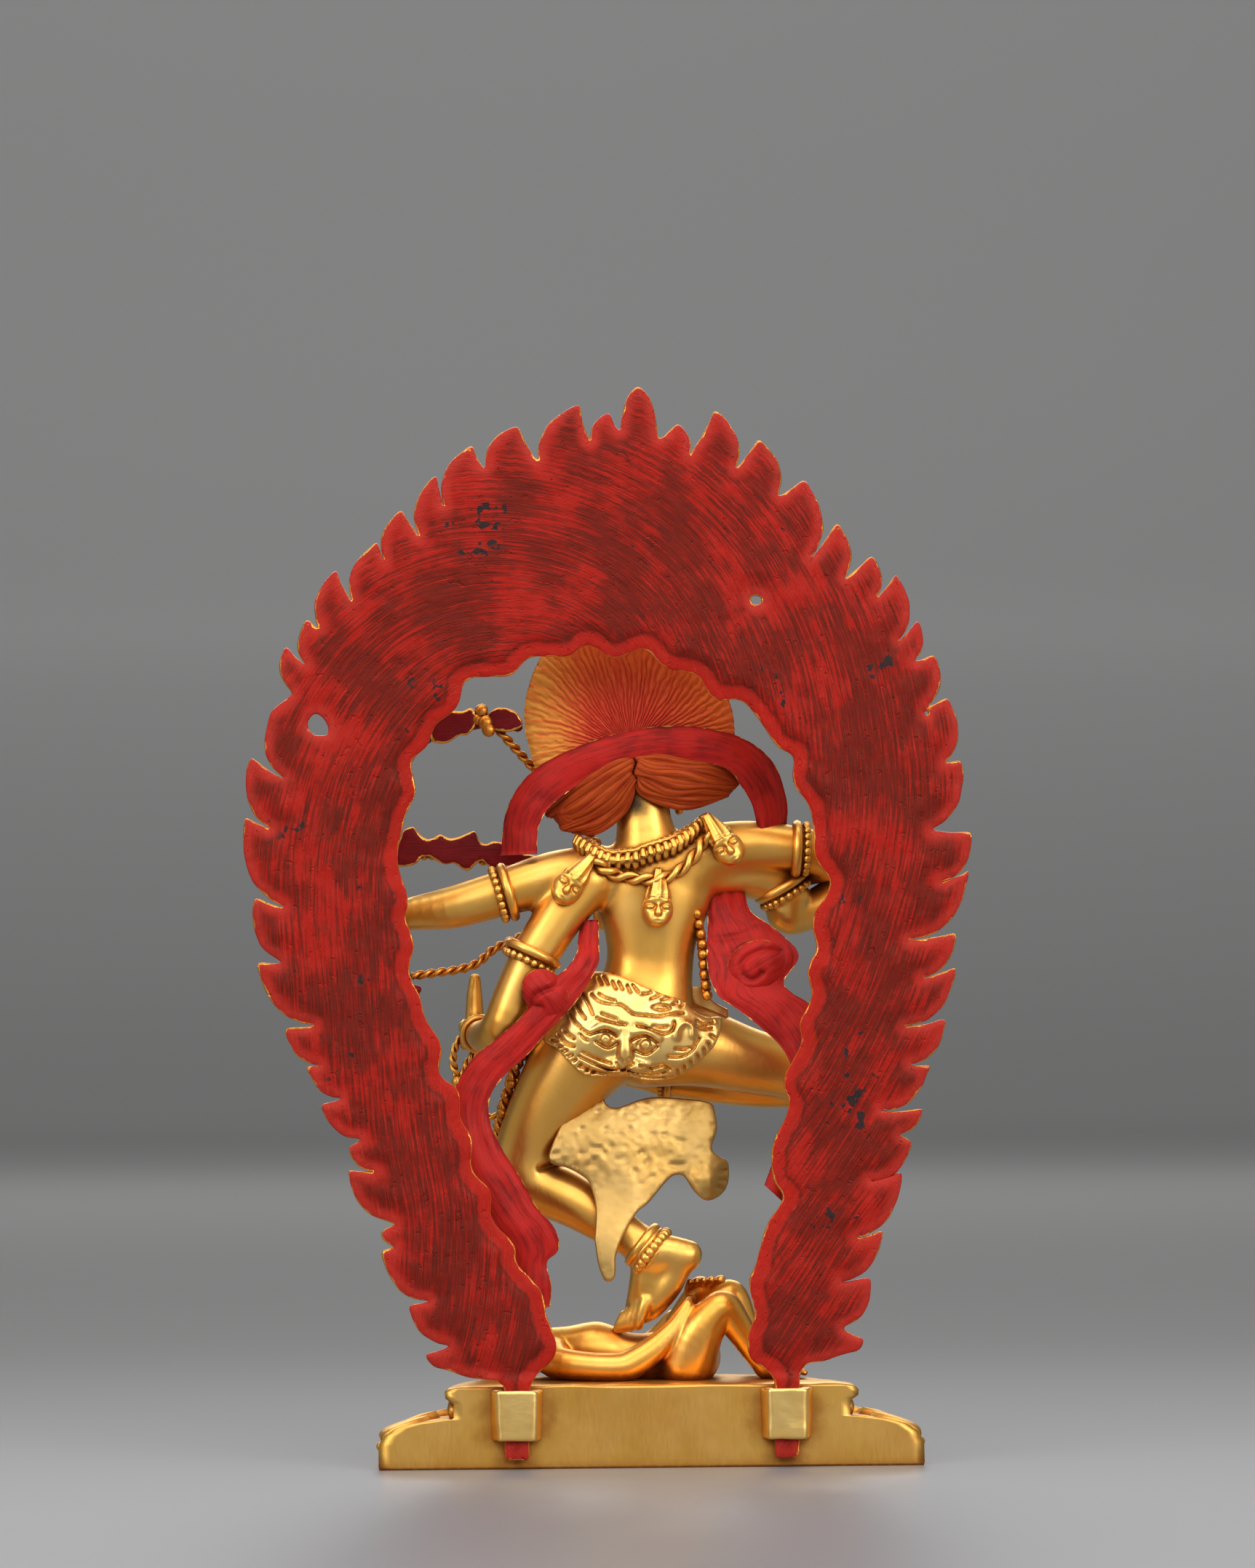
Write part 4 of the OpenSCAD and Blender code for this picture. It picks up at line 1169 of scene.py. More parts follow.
def toes(base, ahead, across, up, size=1.0, spread=0.1):
    """Five toes from base, big toe first, running ahead."""
    base, ahead, across, up = (np.array(v, float) for v in (base, unit(ahead), unit(across), unit(up)))
    out = []
    for i, (r, length) in enumerate(((1.15, 3.6), (0.85, 3.4), (0.8, 3.0), (0.75, 2.6),
                                     (0.75, 2.1))):
        at = base + across * size * (0, 1.75, 3.15, 4.45, 5.65)[i]
        way = unit(ahead + across * spread * (i - 1.5))
        pts = [at - way * 1.5 * size, at + up * 0.35 * size,
               at + way * length * 0.6 * size + up * 0.35 * size,
               at + way * length * size - up * 0.1 * size]
        out.append(Limb([[*q, r * size * f] for q, f in zip(pts, (1.1, 1, 0.95, 0.9))], 3))
    return out


# ---------------------------------------------------------------- the body

# Stations (x, y, z, radius) of the limbs, from the body out
ARM_BOW = [(9, 5, 110, 5.2), (17, 5.5, 109, 4.9), (24.5, 6, 106.8, 4.5), (27, 6, 106, 4.3),
           (36.5, 5, 103.4, 3.9), (44, 3.5, 102.3, 3.0), (49.5, 2.5, 100.6, 2.2)]
ARM_NOOSE = [(11, 7, 108, 4.9), (15.5, 8, 102.5, 4.6), (20.3, 8.8, 95.3, 4.4),
             (23.8, 9, 88, 4.2), (26.8, 8.6, 80.8, 4.1), (29, 4, 79.3, 3.6),
             (30.5, -1, 79.5, 2.9), (31.2, -5, 80, 2.2)]
ARM_DRAW = [(-8, 5, 112, 5.6), (-15, 5, 114.3, 5.0), (-21.4, 5, 114.9, 4.6),
            (-29.7, 5, 114.3, 4.1), (-34.5, 3, 112.5, 3.9), (-31, -3, 111, 3.6),
            (-20, -7, 108.8, 3.1), (-9, -9.6, 106.4, 2.2), (-4, -10.2, 105.6, 2.0)]
ARM_HOOK = [(-10, 3.5, 110, 5.0), (-18.5, 2, 109.8, 4.6), (-24, 1, 108.4, 4.5),
            (-27.5, 0, 104.8, 4.4), (-28, -0.5, 102.2, 4.1), (-33, -2, 103.5, 3.5),
            (-38, -4, 108, 2.7), (-41.5, -5.5, 113, 2.1)]
STANDING = [(7.5, 4, 80, 10.2), (12.5, 4, 74.5, 8.8), (18.0, 3, 66.2, 7.2), (21.6, 2, 58.5, 6.3),
            (22.4, 2, 53.6, 5.9), (19.8, 2.4, 51.3, 5.5), (14.7, 4, 49.0, 5.0),
            (9, 5.5, 45.6, 4.4), (3, 6.5, 41.7, 3.6), (-0.5, 7.3, 39.2, 3.3)]
RAISED = [(0, 4, 78.6, 9), (-9, 3, 77.4, 7.6), (-18, 1.5, 75, 6.3), (-26, 0, 73, 5.5),
          (-32, -1.5, 71.3, 5.0), (-32.5, -2.4, 69.2, 4.4)]
RAISED_CALF = [(-31.5, -3.2, 69.5, 4.0), (-22, -3.6, 69.4, 3.9), (-12, -4, 70.0, 3.4),
               (-4, -4.4, 70.6, 2.7)]


def torso_shape():
    neck = Limb([(-0.6, 3.6, 109, 6), (-0.4, 4, 114, 5.2), (-0.2, 4, 119, 5.1),
                 (0.4, 3.6, 123, 5.3), (1.0, 3, 128, 5.6)], 4)
    flare = Limb([(-0.5, 4.2, 115.2, 5.9), (-0.45, 4.1, 117.2, 5.4)], 1)
    belly = Limb([(-1, -1.6, 95, 4.6), (1.5, -2.6, 86, 5.2)], 3)
    arms = [Limb(ARM_BOW[:4]), Limb(ARM_NOOSE[:3]), Limb(ARM_DRAW[:4]), Limb(ARM_HOOK[:4])]

    def field(p):
        d = egg(p, (-1.9, 4.4, 106), (10.9, 7.0, 10))
        d = smin(d, egg(p, (-1.2, 4.2, 94), (8.1, 6.3, 11.5)), 5)
        d = smin(d, egg(p, (2.6, 4.4, 82), (12, 8.4, 8)), 6)
        d = smin(d, belly(p), 4)
        for x in (-6.3, 4.0):
            d = smin(d, egg(p, (x, -2.4, 105.6), (4.4, 4.2, 4.3)), 1.6)
        d = smin(d, neck(p), 3.5)
        d = smin(d, flare(p), 0.8)
        d = smin(d, arms[0](p), 2.4)
        d = smin(d, arms[2](p), 2.4)
        d = smin(d, arms[1](p), 1.8)
        d = smin(d, arms[3](p), 1.6)
        spine = np.exp(-((p[:, 0] + 1.4) / 1.7) ** 2) * np.clip((p[:, 1] - 6) / 3, 0, 1)
        d += 0.22 * spine * np.clip(1 - np.abs(p[:, 2] - 98) / 9, 0, 1)
        return d + 0.05 * lumps(p, 5, 1)
    return field


def make_torso():
    """Trunk, neck and the stumps of the four arms."""
    cast("torso", torso_shape(), (-31, -9, 73), (30, 14, 130), 0.36, GILT_SKIN)


def make_arms():
    """Each arm from beyond its armpit, with a palm and the fingers of the hand at its end."""
    finger = Limb([(31.5, -6.6, 80, 2.2), (31.5, -7.8, 83.5, 1.75), (31.5, -8, 87, 1.5),
                   (31.4, -7.8, 90, 1.1)], 4)
    arms = [
        ("arm_bow", ARM_BOW[3:], (52.4, 2.0, 100.2, 2.4), (24, -6, 90), (60, 12, 112),
         fist((52.6, -0.4, 100.2), (-0.1, 0.05, 1), (0.55, 0.8, 0), 1.05, -1)),
        ("arm_noose", ARM_NOOSE[2:], (31.2, -7, 80.4, 2.3), (14, -13, 72), (36, 15, 101),
         fist((31.2, -8.6, 79.2), (1, 0, 0.12), (0, 0.35, 1), 0.9) + [finger]),
        ("arm_draw", ARM_DRAW[3:], (-0.6, -10.6, 105.3, 2.3), (-40, -16, 98), (8, 11, 120),
         fist((2.2, -11.4, 105.2), (0.15, 0.2, 1), (-0.9, 0.3, 0), 0.95)),
        ("arm_hook", ARM_HOOK[3:], (-42.4, -6.8, 115.4, 2.4), (-48, -14, 96), (-21, 7, 123),
         fist((-42.6, -9, 116.2), (0, 0, 1), (-0.35, 0.9, 0), 0.95))]
    for name, stations, palm, lo, hi, fingers in arms:
        limbs = [Limb(stations), Limb([stations[-1], palm], 1)]

        def field(p, limbs=limbs, fingers=fingers):
            return smin(join(p, limbs, 1.5), join(p, fingers, 0.25), 0.8)
        cast(name, field, lo, hi, 0.3)


def make_legs():
    """The standing leg with its tucked foot seen from behind, and the raised leg."""
    heel = Limb([(-0.5, 7.3, 39.2, 3.3), (-4, 8.2, 38.9, 3.2), (-7.8, 8.6, 38.6, 2.5)], 3)
    sole = Limb([(-6.6, 8.6, 37.4, 2.3), (-4.2, 7.6, 33, 2.6), (-1.2, 6, 29.0, 2.4),
                 (0.4, 5, 27.4, 1.9)], 4)
    instep = Limb([(-0.5, 7.2, 38.6, 3.1), (0.2, 6.6, 34, 2.9), (1.2, 5.6, 30.4, 2.4),
                   (2.2, 5.0, 28.2, 1.8)], 4)
    toe = toes(seen(1.6, 29.6, 8.0), (0.35, -0.1, -0.93), (0.80, -0.35, -0.48),
               (0.3, 0.9, 0.2), 0.95, 0.05)
    leg = Limb(STANDING, 9)

    def standing(p):
        d = smin(leg(p), join(p, [heel, sole, instep], 2.0), 2.2)
        d = smin(d, join(p, toe, 0.2), 0.7)
        seen_at = as_seen(p)
        crease = strokes(seen_at, [[(20.5, 55.3), (18.5, 55.7), (16.4, 56.3)]], 0.55)
        return d + 0.7 * crease * (p[:, 1] > 3) + 0.05 * lumps(p, 5, 2)
    cast("standing_leg", standing, (-12, -8, 22), (31, 15, 88), 0.34)

    thigh, calf = Limb(RAISED, 9), Limb(RAISED_CALF, 6)
    foot = Limb([(-4, -4.4, 70.6, 2.7), (0, -5.2, 71.2, 2.3), (4, -6.2, 72.0, 2.0),
                 (8, -7.2, 73.0, 1.8)], 4)
    toe2 = toes((8.0, -5.8, 72.4), (1, -0.45, 0.35), (0.1, -0.9, 0.5), (0, 0.1, 1), 0.75, 0.06)

    def raised(p):
        d = smin(thigh(p), smin(calf(p), foot(p), 1.5), 0.9)
        return smin(d, join(p, toe2, 0.2), 0.6) + 0.05 * lumps(p, 5, 3)
    cast("raised_leg", raised, (-39, -12, 60), (16, 14, 89), 0.34)


HEAD_X = 2                        # x of the middle of her head


def make_head():
    """Her head with its face, and the balls of the eyes."""
    nose = Limb([(HEAD_X, -5.3, 131.6, 0.55), (HEAD_X, -6.3, 129.8, 0.8),
                 (HEAD_X, -6.9, 128.7, 0.95)], 3)
    wings = [Limb([(HEAD_X + s * 0.75, -6.0, 128.6, 0.6), (HEAD_X + s * 0.8, -5.4, 128.7, 0.6)], 1)
             for s in (-1, 1)]
    brows = [Limb([(HEAD_X + s * 1.0, -5.5, 132.1, 0.45), (HEAD_X + s * 2.9, -5.3, 132.9, 0.5),
                   (HEAD_X + s * 5.0, -3.6, 132.4, 0.4)], 4) for s in (-1, 1)]
    lips = [Limb([(HEAD_X - 1.9, -5.15, 126.3, 0.32), (HEAD_X - 0.8, -5.95, 126.65, 0.45),
                  (HEAD_X, -6.05, 126.5, 0.4), (HEAD_X + 0.8, -5.95, 126.65, 0.45),
                  (HEAD_X + 1.9, -5.15, 126.3, 0.32)], 3),
            Limb([(HEAD_X - 1.6, -5.2, 126.0, 0.3), (HEAD_X, -5.95, 125.5, 0.55),
                  (HEAD_X + 1.6, -5.2, 126.0, 0.3)], 4)]
    lids = [Limb([(HEAD_X + s * 1.2, -5.3, 130.9, 0.22), (HEAD_X + s * 2.8, -5.85, 131.6, 0.28),
                  (HEAD_X + s * 4.4, -4.7, 131.1, 0.22)], 4) for s in (-1, 1)]
    under = [Limb([(HEAD_X + s * 1.2, -5.3, 130.9, 0.18), (HEAD_X + s * 2.8, -5.6, 130.2, 0.2),
                   (HEAD_X + s * 4.4, -4.7, 131.0, 0.18)], 4) for s in (-1, 1)]

    def field(p):
        d = egg(p, (HEAD_X, 1.2, 132.4), (7.2, 6.6, 7.6))
        d = smin(d, egg(p, (HEAD_X, 0.6, 128), (5.9, 6.2, 6.4)), 3)
        d = smin(d, ball(p, (HEAD_X, -3.6, 123.9), 1.7), 2.2)
        for s in (-1, 1):
            d = smin(d, egg(p, (HEAD_X + s * 3.4, -3.2, 127.8), (2.2, 1.7, 2.0)), 1.6)
            d = smax(d, -egg(p, (HEAD_X + s * 2.8, -6.9, 131.0), (1.9, 1.5, 1.2)), 0.9)
            d = smin(d, egg(p, (HEAD_X + s * 2.8, -4.2, 130.9), (1.55, 1.25, 0.95)), 0.25)
        d = smin(d, join(p, brows, 0.3), 0.7)
        d = smin(d, smin(nose(p), join(p, wings, 0.3), 0.5), 0.7)
        d = smin(d, join(p, lips, 0.12), 0.4)
        d = smin(d, join(p, lids + under, 0.1), 0.15)
        d = smin(d, egg(p, (HEAD_X, -5.35, 134.4), (0.45, 0.5, 0.85)), 0.2)
        for s in (-1, 1):
            ear = smin(egg(p, (HEAD_X + s * 7.0, 1.6, 130.6), (0.9, 1.7, 2.4)),
                       egg(p, (HEAD_X + s * 7.1, 1.3, 127.4), (0.7, 1.1, 2.2)), 0.8)
            ear = smax(ear, -egg(p, (HEAD_X + s * 8.0, 1.2, 130.6), (0.8, 0.9, 1.5)), 0.4)
            d = smin(d, ear, 0.5)
        return d
    cast("head", field, (-8, -9, 120), (12, 12, 143), 0.2)
    eyes = [(HEAD_X + s * 2.8, -5.22, 130.85) for s in (-1, 1)]
    piece("eyes", beads(np.array(eyes), 0.62, (1, 0.55, 1)), GILT_BRIGHT, added=True)


# Outlines and chasing of the tiger's head skin on her hips, as seen from behind
TIGER_EDGE = [(10.6, 91.5), (6.6, 91), (0.9, 88.6), (-2.6, 87.1), (-6, 86), (-7.6, 84.3),
    (-10.2, 83), (-13, 82.8), (-12.3, 78.8), (-10.2, 76), (-7.2, 73.5), (-4.9, 72.1),
    (-1.6, 71.3), (1, 71.4), (4.3, 72.2), (7.6, 72.1), (10.6, 72.1), (12.9, 72.8), (15.4, 75.1),
    (17.5, 77.4), (20, 79.2), (20, 84), (17, 90), (13.5, 92)]
TIGER_GROOVES = [
    [(11.0, 87.3), (9.6, 86), (7.6, 85.5), (5.5, 85.3), (3.9, 84.1), (3.0, 83.5), (0.9, 83.3),
     (-1.5, 83.1), (-3.7, 83.6), (-6, 83.6)],
    [(9.6, 87.4), (8.2, 86.6), (6.5, 86.0)],
    [(10.1, 82.9), (7.6, 82.2), (4.6, 81.6)], [(9.1, 83.7), (7.6, 83.1), (6.4, 82.6)],
    [(2.5, 81.5), (-0.3, 80.7), (-2.6, 79.9), (-4, 80.7), (-4.4, 82.0)],
    [(-0.4, 81.3), (-1.6, 81.1), (-3.0, 81.2)],
    [(13.3, 75.9), (10.1, 74.3), (7.6, 73.4), (5.7, 73.5)], [(12.6, 76.6), (9.9, 75.4), (7.4, 74.5)],
    [(12.9, 74.0), (10.9, 73.1), (8.4, 72.6)],
    [(2.0, 74.1), (-0.3, 73.6), (-2.1, 74.1), (-3.5, 73.4)],
    [(4.2, 73.3), (2.0, 72.6), (-0.4, 72.4), (-2.6, 72.9)], [(4.0, 72.5), (0.9, 71.9), (-2.4, 71.9)],
    [(13.8, 85.5), (13.2, 84.2), (12.2, 82.8)], [(12.6, 87.2), (11.5, 85.4), (10.7, 83.5)],
    [(15.0, 83.8), (14.2, 82.3), (13.2, 81.3)], [(16.1, 80.7), (15.2, 79.8), (14.3, 79.2)],
    [(17.1, 80.0), (15.8, 78.3), (14.3, 77.7)], [(12.9, 80.9), (12.2, 80.3), (11.5, 80)],
    [(12.9, 79.9), (12.4, 79.2), (11.8, 78.8)],
    [(-0.3, 84.9), (-2.0, 84.3), (-3.7, 84.7), (-2.0, 85.3), (-0.3, 84.9)],
    [(-4.6, 77.2), (-6.0, 77.0), (-7.3, 77.2)],
    [(-3.2, 75.7), (-5.6, 75.7), (-7.6, 76.8), (-8.9, 79)],
    [(-8.4, 82.3), (-9.9, 81.5), (-11.4, 82.0)], [(-8.4, 81.6), (-9.3, 80.9), (-11.2, 80.9)],
    [(6.4, 74.6), (5.4, 73.4), (3.2, 74.5)],
    [(11.3, 79.9), (10.0, 80.3), (8.0, 80.6), (6.4, 79.6)], [(10.2, 78.6), (8.0, 77.4), (6.2, 78.3)],
    [(3.6, 78.8), (1.0, 79.6), (-1.2, 78.2)], [(3.0, 76.9), (0.8, 76.2), (-1.2, 77.6)]]
TIGER_DASHES = [[(9.6, 90.3), (9.1, 89.2)], [(8.7, 90.5), (7.9, 89.2)], [(7.1, 89.6), (6.4, 88.3)],
    [(5.9, 89.5), (5.2, 88.2)], [(4.3, 88.9), (3.7, 87.6)], [(3.3, 89), (2.2, 87.6)],
    [(1.6, 87.2), (-0.1, 87.6)], [(-0.1, 86.4), (-1.7, 87.1)], [(-2.1, 86.2), (-3.7, 86.7)],
    [(-4.1, 85.3), (-4.9, 85.7)], [(-5.6, 85), (-6, 85.5)], [(-11.1, 79.6), (-11.9, 79)],
    [(-10.6, 78.2), (-11, 77.2)], [(-9.8, 77.1), (-10.0, 76.2)], [(-8.6, 76), (-8.9, 75.1)],
    [(-7.3, 74.9), (-7.5, 74)], [(-6.1, 74), (-6.2, 73.1)], [(-4.9, 73.2), (-4.9, 72.5)],
    [(18.4, 78.9), (17.4, 78.7)], [(17.4, 77.8), (16.5, 77.8)], [(16.4, 76.8), (15.6, 77)],
    [(15.4, 75.9), (14.6, 76.1)], [(14.4, 75), (13.8, 75.3)], [(13.3, 73.9), (13, 74.5)],
    [(12, 73.1), (11.6, 73.7)], [(10.9, 72.6), (10.5, 73.1)]]


def surface_point(field, x, z, lift=0.0):
    """Where the viewer's line through the apparent (x, z) meets the field, moved towards them."""
    ys = np.linspace(22, -2, 241)
    inside = field(np.array([seen(x, z, y) for y in ys])) < 0
    return seen(x, z, ys[np.argmax(inside)] + lift)


def make_tiger():
    """The tiger skin round her hips, with the chased face of its head behind."""
    thigh, raised = Limb(STANDING[:4], 8), Limb(RAISED[:3], 8)
    edge = spline(TIGER_EDGE + TIGER_EDGE[:1], 4)[:-1]

    def under(p):
        hips = smin(thigh(p), raised(p), 5)
        hips = smin(hips, egg(p, (3.0, 4.6, 82), (12.4, 9.0, 9)), 5)
        return smin(hips, egg(p, (-1.0, 4.2, 93), (8.5, 6.7, 9)), 5) - 1.3

    def line(k, *stations):
        return Limb([surface_point(under, x, z, lift) + [r] for x, z, lift, r in stations], k)
    bridge = line(4, (4.5, 82.0, -0.9, 0.8), (4.7, 79.6, -0.55, 1.0), (4.8, 77.2, 0.1, 1.3),
                  (4.8, 76.0, 0.35, 1.5))
    jowls = [line(3, (8.6, 74.6, -0.8, 1.3), (6.7, 74.3, 0.1, 1.6), (5.4, 74.4, 0.3, 1.3)),
             line(3, (1.0, 74.0, -0.6, 1.3), (2.9, 74.0, 0.1, 1.6), (4.2, 74.3, 0.3, 1.3))]
    brows = [line(3, (6.4, 80.9, -0.2, 0.6), (8.6, 81.6, -0.1, 0.75), (11.0, 80.4, -0.3, 0.6)),
             line(3, (3.1, 80.2, -0.2, 0.6), (0.8, 80.5, -0.1, 0.75), (-1.4, 79.1, -0.3, 0.6))]
    eyes = [surface_point(under, 8.4, 79.0), surface_point(under, 1.0, 77.9)]
    nostrils = [surface_point(under, x, 75.2, 2.0) for x in (5.7, 4.0)]

    def field(p):
        d = under(p)
        xz = as_seen(p)
        back = p[:, 1] > 4
        for c in eyes:
            d = smax(d, -egg(p, (c[0], c[1] + 0.5, c[2]), (1.9, 1.0, 1.4)), 0.3)
        d = smin(d, join(p, [bridge] + jowls, 0.5), 0.7)
        d = smin(d, join(p, brows, 0.5), 0.6)
        for c in eyes:
            d = smin(d, ball(p, (c[0], c[1] - 0.5, c[2]), 1.15), 0.05)
            d = smax(d, -ball(p, (c[0], c[1] + 0.85, c[2]), 0.42), 0.1)
        for c in nostrils:
            d = smax(d, -ball(p, c, 0.5), 0.2)
        ear = strokes(xz, [[(-4.7, 79.3), (-5, 81), (-6.3, 82), (-7.6, 81.3), (-7.7, 79.6)]], 0.55)
        cut = strokes(xz, TIGER_GROOVES, 0.26)
        dash = strokes(xz, TIGER_DASHES, 0.27)
        d = d + np.where(back, 0.6 * cut + 0.6 * dash - 0.6 * ear, 0)
        near = edge_distance_fast(xz, edge)
        out = np.where(inside_of(xz, edge), -near, near)
        skirt = np.where(back, out, np.maximum(72.5 - p[:, 2], p[:, 2] - 88.5))
        return smax(d, skirt, 0.6)
    v, f = clay(field, (-16, -7, 69), (22, 18, 94), 0.23)
    piece("tiger_skin", (v, f), GILT_BRIGHT)


def edge_distance_fast(points, outline):
    """Distance to a closed outline, from its sample points."""
    line = even(np.vstack([outline, outline[:1]]), 0.5)
    out = np.full(len(points), 1e9)
    for i in range(0, len(points), 20000):
        block = points[i:i + 20000]
        lo, hi = block.min(0) - 3, block.max(0) + 3
        near = line[((line > lo) & (line < hi)).all(1)]
        if len(near) == 0:
            out[i:i + 20000] = 3
            continue
        d2 = ((block[:, None] - near[None]) ** 2).sum(-1)
        out[i:i + 20000] = np.sqrt(d2.min(1))
    return out


# ---------------------------------------------------------------- hair, scarves and sheets

RIBBON = 1.5                      # thickness of the scarves


def strip(edge_a, edge_b, crown, n, across=9, wave=0.0, seed=1, fold=None):
    """A stiff ribbon between two edge curves (rows x, y, z), its back crowned.

    Returns (vertices, faces), the distance from the edge, and the stroke coordinates."""
    a, b = resample(spline(edge_a, 8), n), resample(spline(edge_b, 8), n)
    t = np.linspace(0, 1, across)
    mid = a[:, None] + (b - a)[:, None] * t[None, :, None]
    wide = np.linalg.norm(b - a, axis=1)
    run = lengths((a + b) / 2)
    away = np.minimum(t[None], 1 - t[None]) * wide[:, None]
    lift = crown * (1 - (2 * t[None] - 1) ** 2)
    soft = 0.5 * RIBBON * np.sqrt(np.clip(1 - np.clip(1 - away / 0.55, 0, 1) ** 2, 0.02, 1))
    back, front = mid.copy(), mid.copy()
    flat = mid.reshape(-1, 3)
    shake = (wave * lumps(flat, 5, seed) + 0.10 * lumps(flat, 1.8, seed + 1)).reshape(n, across)
    if fold is not None:
        shake = shake + fold(mid)
    back[..., 1] += soft + lift + shake
    front[..., 1] += -soft + lift * 0.4 + shake * 0.6
    verts = np.vstack([back.reshape(-1, 3), front.reshape(-1, 3)])
    stroke = np.stack([np.broadcast_to(run[:, None], (n, across)),
                       (t[None] - 0.5) * wide[:, None], np.zeros((n, across))], -1).reshape(-1, 3)
    skin = verts, both_faces(n, across, turned=True)
    return skin, np.tile(away.reshape(-1), 2), np.tile(stroke, (2, 1))


def painted(name, strips, material, added=False):
    """One painted piece from several strip() results."""
    ob = piece(name, [s[0] for s in strips], material, added=added)
    add_value(ob, "away", np.concatenate([s[1] for s in strips]))
    add_value(ob, "stroke", np.vstack([s[2] for s in strips]) * MM)
    return ob


def make_scarf_arc():
    """The scarf that stands in an arc behind her head, between its upper and lower edge."""
    upper = [(27.5, 112.9), (26.8, 119.8), (24.8, 124.7), (21.3, 128.7), (16.8, 131.4),
             (9.9, 134.2), (2.5, 136.1), (-3, 136.7), (-8.9, 136.5), (-14.9, 135.3),
             (-19.8, 132.9), (-23.3, 129.2), (-25, 124.3), (-25.5, 120.8), (-25, 116)]
    lower = [(20.8, 113.2), (20.6, 117.8), (18.8, 121.4), (14.9, 124.7), (9.9, 127.7),
             (2.5, 129.5), (-2.5, 130), (-8.9, 130), (-14.4, 128.7), (-16.8, 125.7),
             (-18.6, 122.8), (-19.4, 120.3), (-20, 116)]

    def depth(x):
        return 10.2 - 5.5 * max(0, (abs(x - 1) - 12) / 14) ** 2
    a = seen_all([(x, z, depth(x)) for x, z in upper])
    b = seen_all([(x, z, depth(x)) for x, z in lower])
    painted("scarf_arc", [strip(a, b, 0.7, 90, wave=0.25)], SCARF)


def make_scarf_left():
    """The long scarf on the left of the view, between its two edges, and its folded knot."""
    left_a = seen_all([(9.6, 101, 8), (9.5, 96.5, 10), (9.6, 93, 12), (12.0, 88.5, 14),
                       (15.0, 84.5, 14.5), (19.0, 80.5, 15), (22.5, 76.5, 15), (26.5, 73, 15),
                       (29.5, 69, 15.5), (29.8, 64.5, 16), (27.5, 59, 17), (24.0, 53.5, 17.5),
                       (21.0, 48, 17.5), (18.5, 45.2, 17.2), (17.2, 42.5, 17),
                       (17.4, 40, 17), (19.4, 38, 17), (18.6, 34, 17), (18.8, 30, 17)])
    left_b = seen_all([(13.0, 101, 8), (13.4, 97, 10), (13.6, 95, 12), (15.4, 92.2, 14),
                       (19, 89.4, 14.5), (23.6, 83.6, 15), (28, 79.6, 15), (33, 75.4, 15),
                       (36.5, 69.6, 15.5), (37.6, 63, 16), (35.8, 56, 17), (32, 49.5, 17.5),
                       (29.5, 45, 17.5), (27.6, 42, 17.2), (25.5, 39, 17), (25, 36.5, 17),
                       (25, 34, 17), (24.5, 32, 17), (24, 29, 17)])

    def groove(m):
        return -0.5 * np.exp(-((np.linspace(0, 1, m.shape[1])[None] - 0.35) / 0.09) ** 2)
    tail_left = strip(left_a, left_b, 0.8, 130, wave=0.3, seed=5, fold=groove)
    curl_left = curl_piece((19.4, 87.4), 16.6, 5.0, 3.9, 52, [(-3.0, 4.2), (-2.2, 1.6), (0.2, 0.6),
                           (2.2, -0.6), (2.4, -2.4), (0.8, -2.6)], 5)
    painted("scarf_left", [tail_left, curl_left], SCARF)


def make_scarf_right():
    """The scarf on the right of the view, between its two edges, and the curl at its elbow."""
    right_a = seen_all([(-8.6, 110, 2), (-10.2, 105, 4), (-10.6, 100, 6), (-10.4, 96, 8),
                        (-10.6, 91.5, 10), (-12.4, 87, 11), (-16, 84.4, 12), (-20, 81.2, 13),
                        (-24.0, 77.4, 14), (-26, 73, 15), (-26, 66, 16), (-23, 58, 16.5),
                        (-20.8, 52, 17)])
    right_b = seen_all([(-15.4, 110, 2), (-17.4, 106, 4), (-18.6, 102.4, 6), (-23, 99.2, 8),
                        (-27.4, 94.4, 10), (-24.6, 89.6, 11), (-26, 87.4, 12), (-29.5, 85, 13),
                        (-32, 80, 14), (-33, 74, 15), (-32, 66, 16), (-28, 57, 16.5),
                        (-24, 49, 17)])

    def lines(m):
        xz = as_seen(m.reshape(-1, 3))
        cut = strokes(xz, [[(-12.2, 107), (-13.4, 101), (-13.2, 97)], [(-14.8, 106.6), (-16.4, 100.4)],
                           [(-11, 97.4), (-16, 97.9), (-20, 99.6), (-22.6, 99.0)],
                           [(-13.4, 94), (-18, 96), (-22.6, 95.4)]], 0.4)
        return (-0.6 * cut).reshape(m.shape[:2])
    tail_right = strip(right_a, right_b, 0.9, 120, across=15, wave=0.35, seed=9, fold=lines)
    curl_right = curl_piece((-19.6, 92.0), 12.6, 5.8, 5.0, 150, [(-4.8, 2.8), (-2.4, 3.3),
                            (0.8, 2.6), (2.8, 0.8), (2.4, -1.6), (0.6, -2.2), (-1.0, -1.0)], 7)
    painted("scarf_right", [tail_right, curl_right], SCARF)


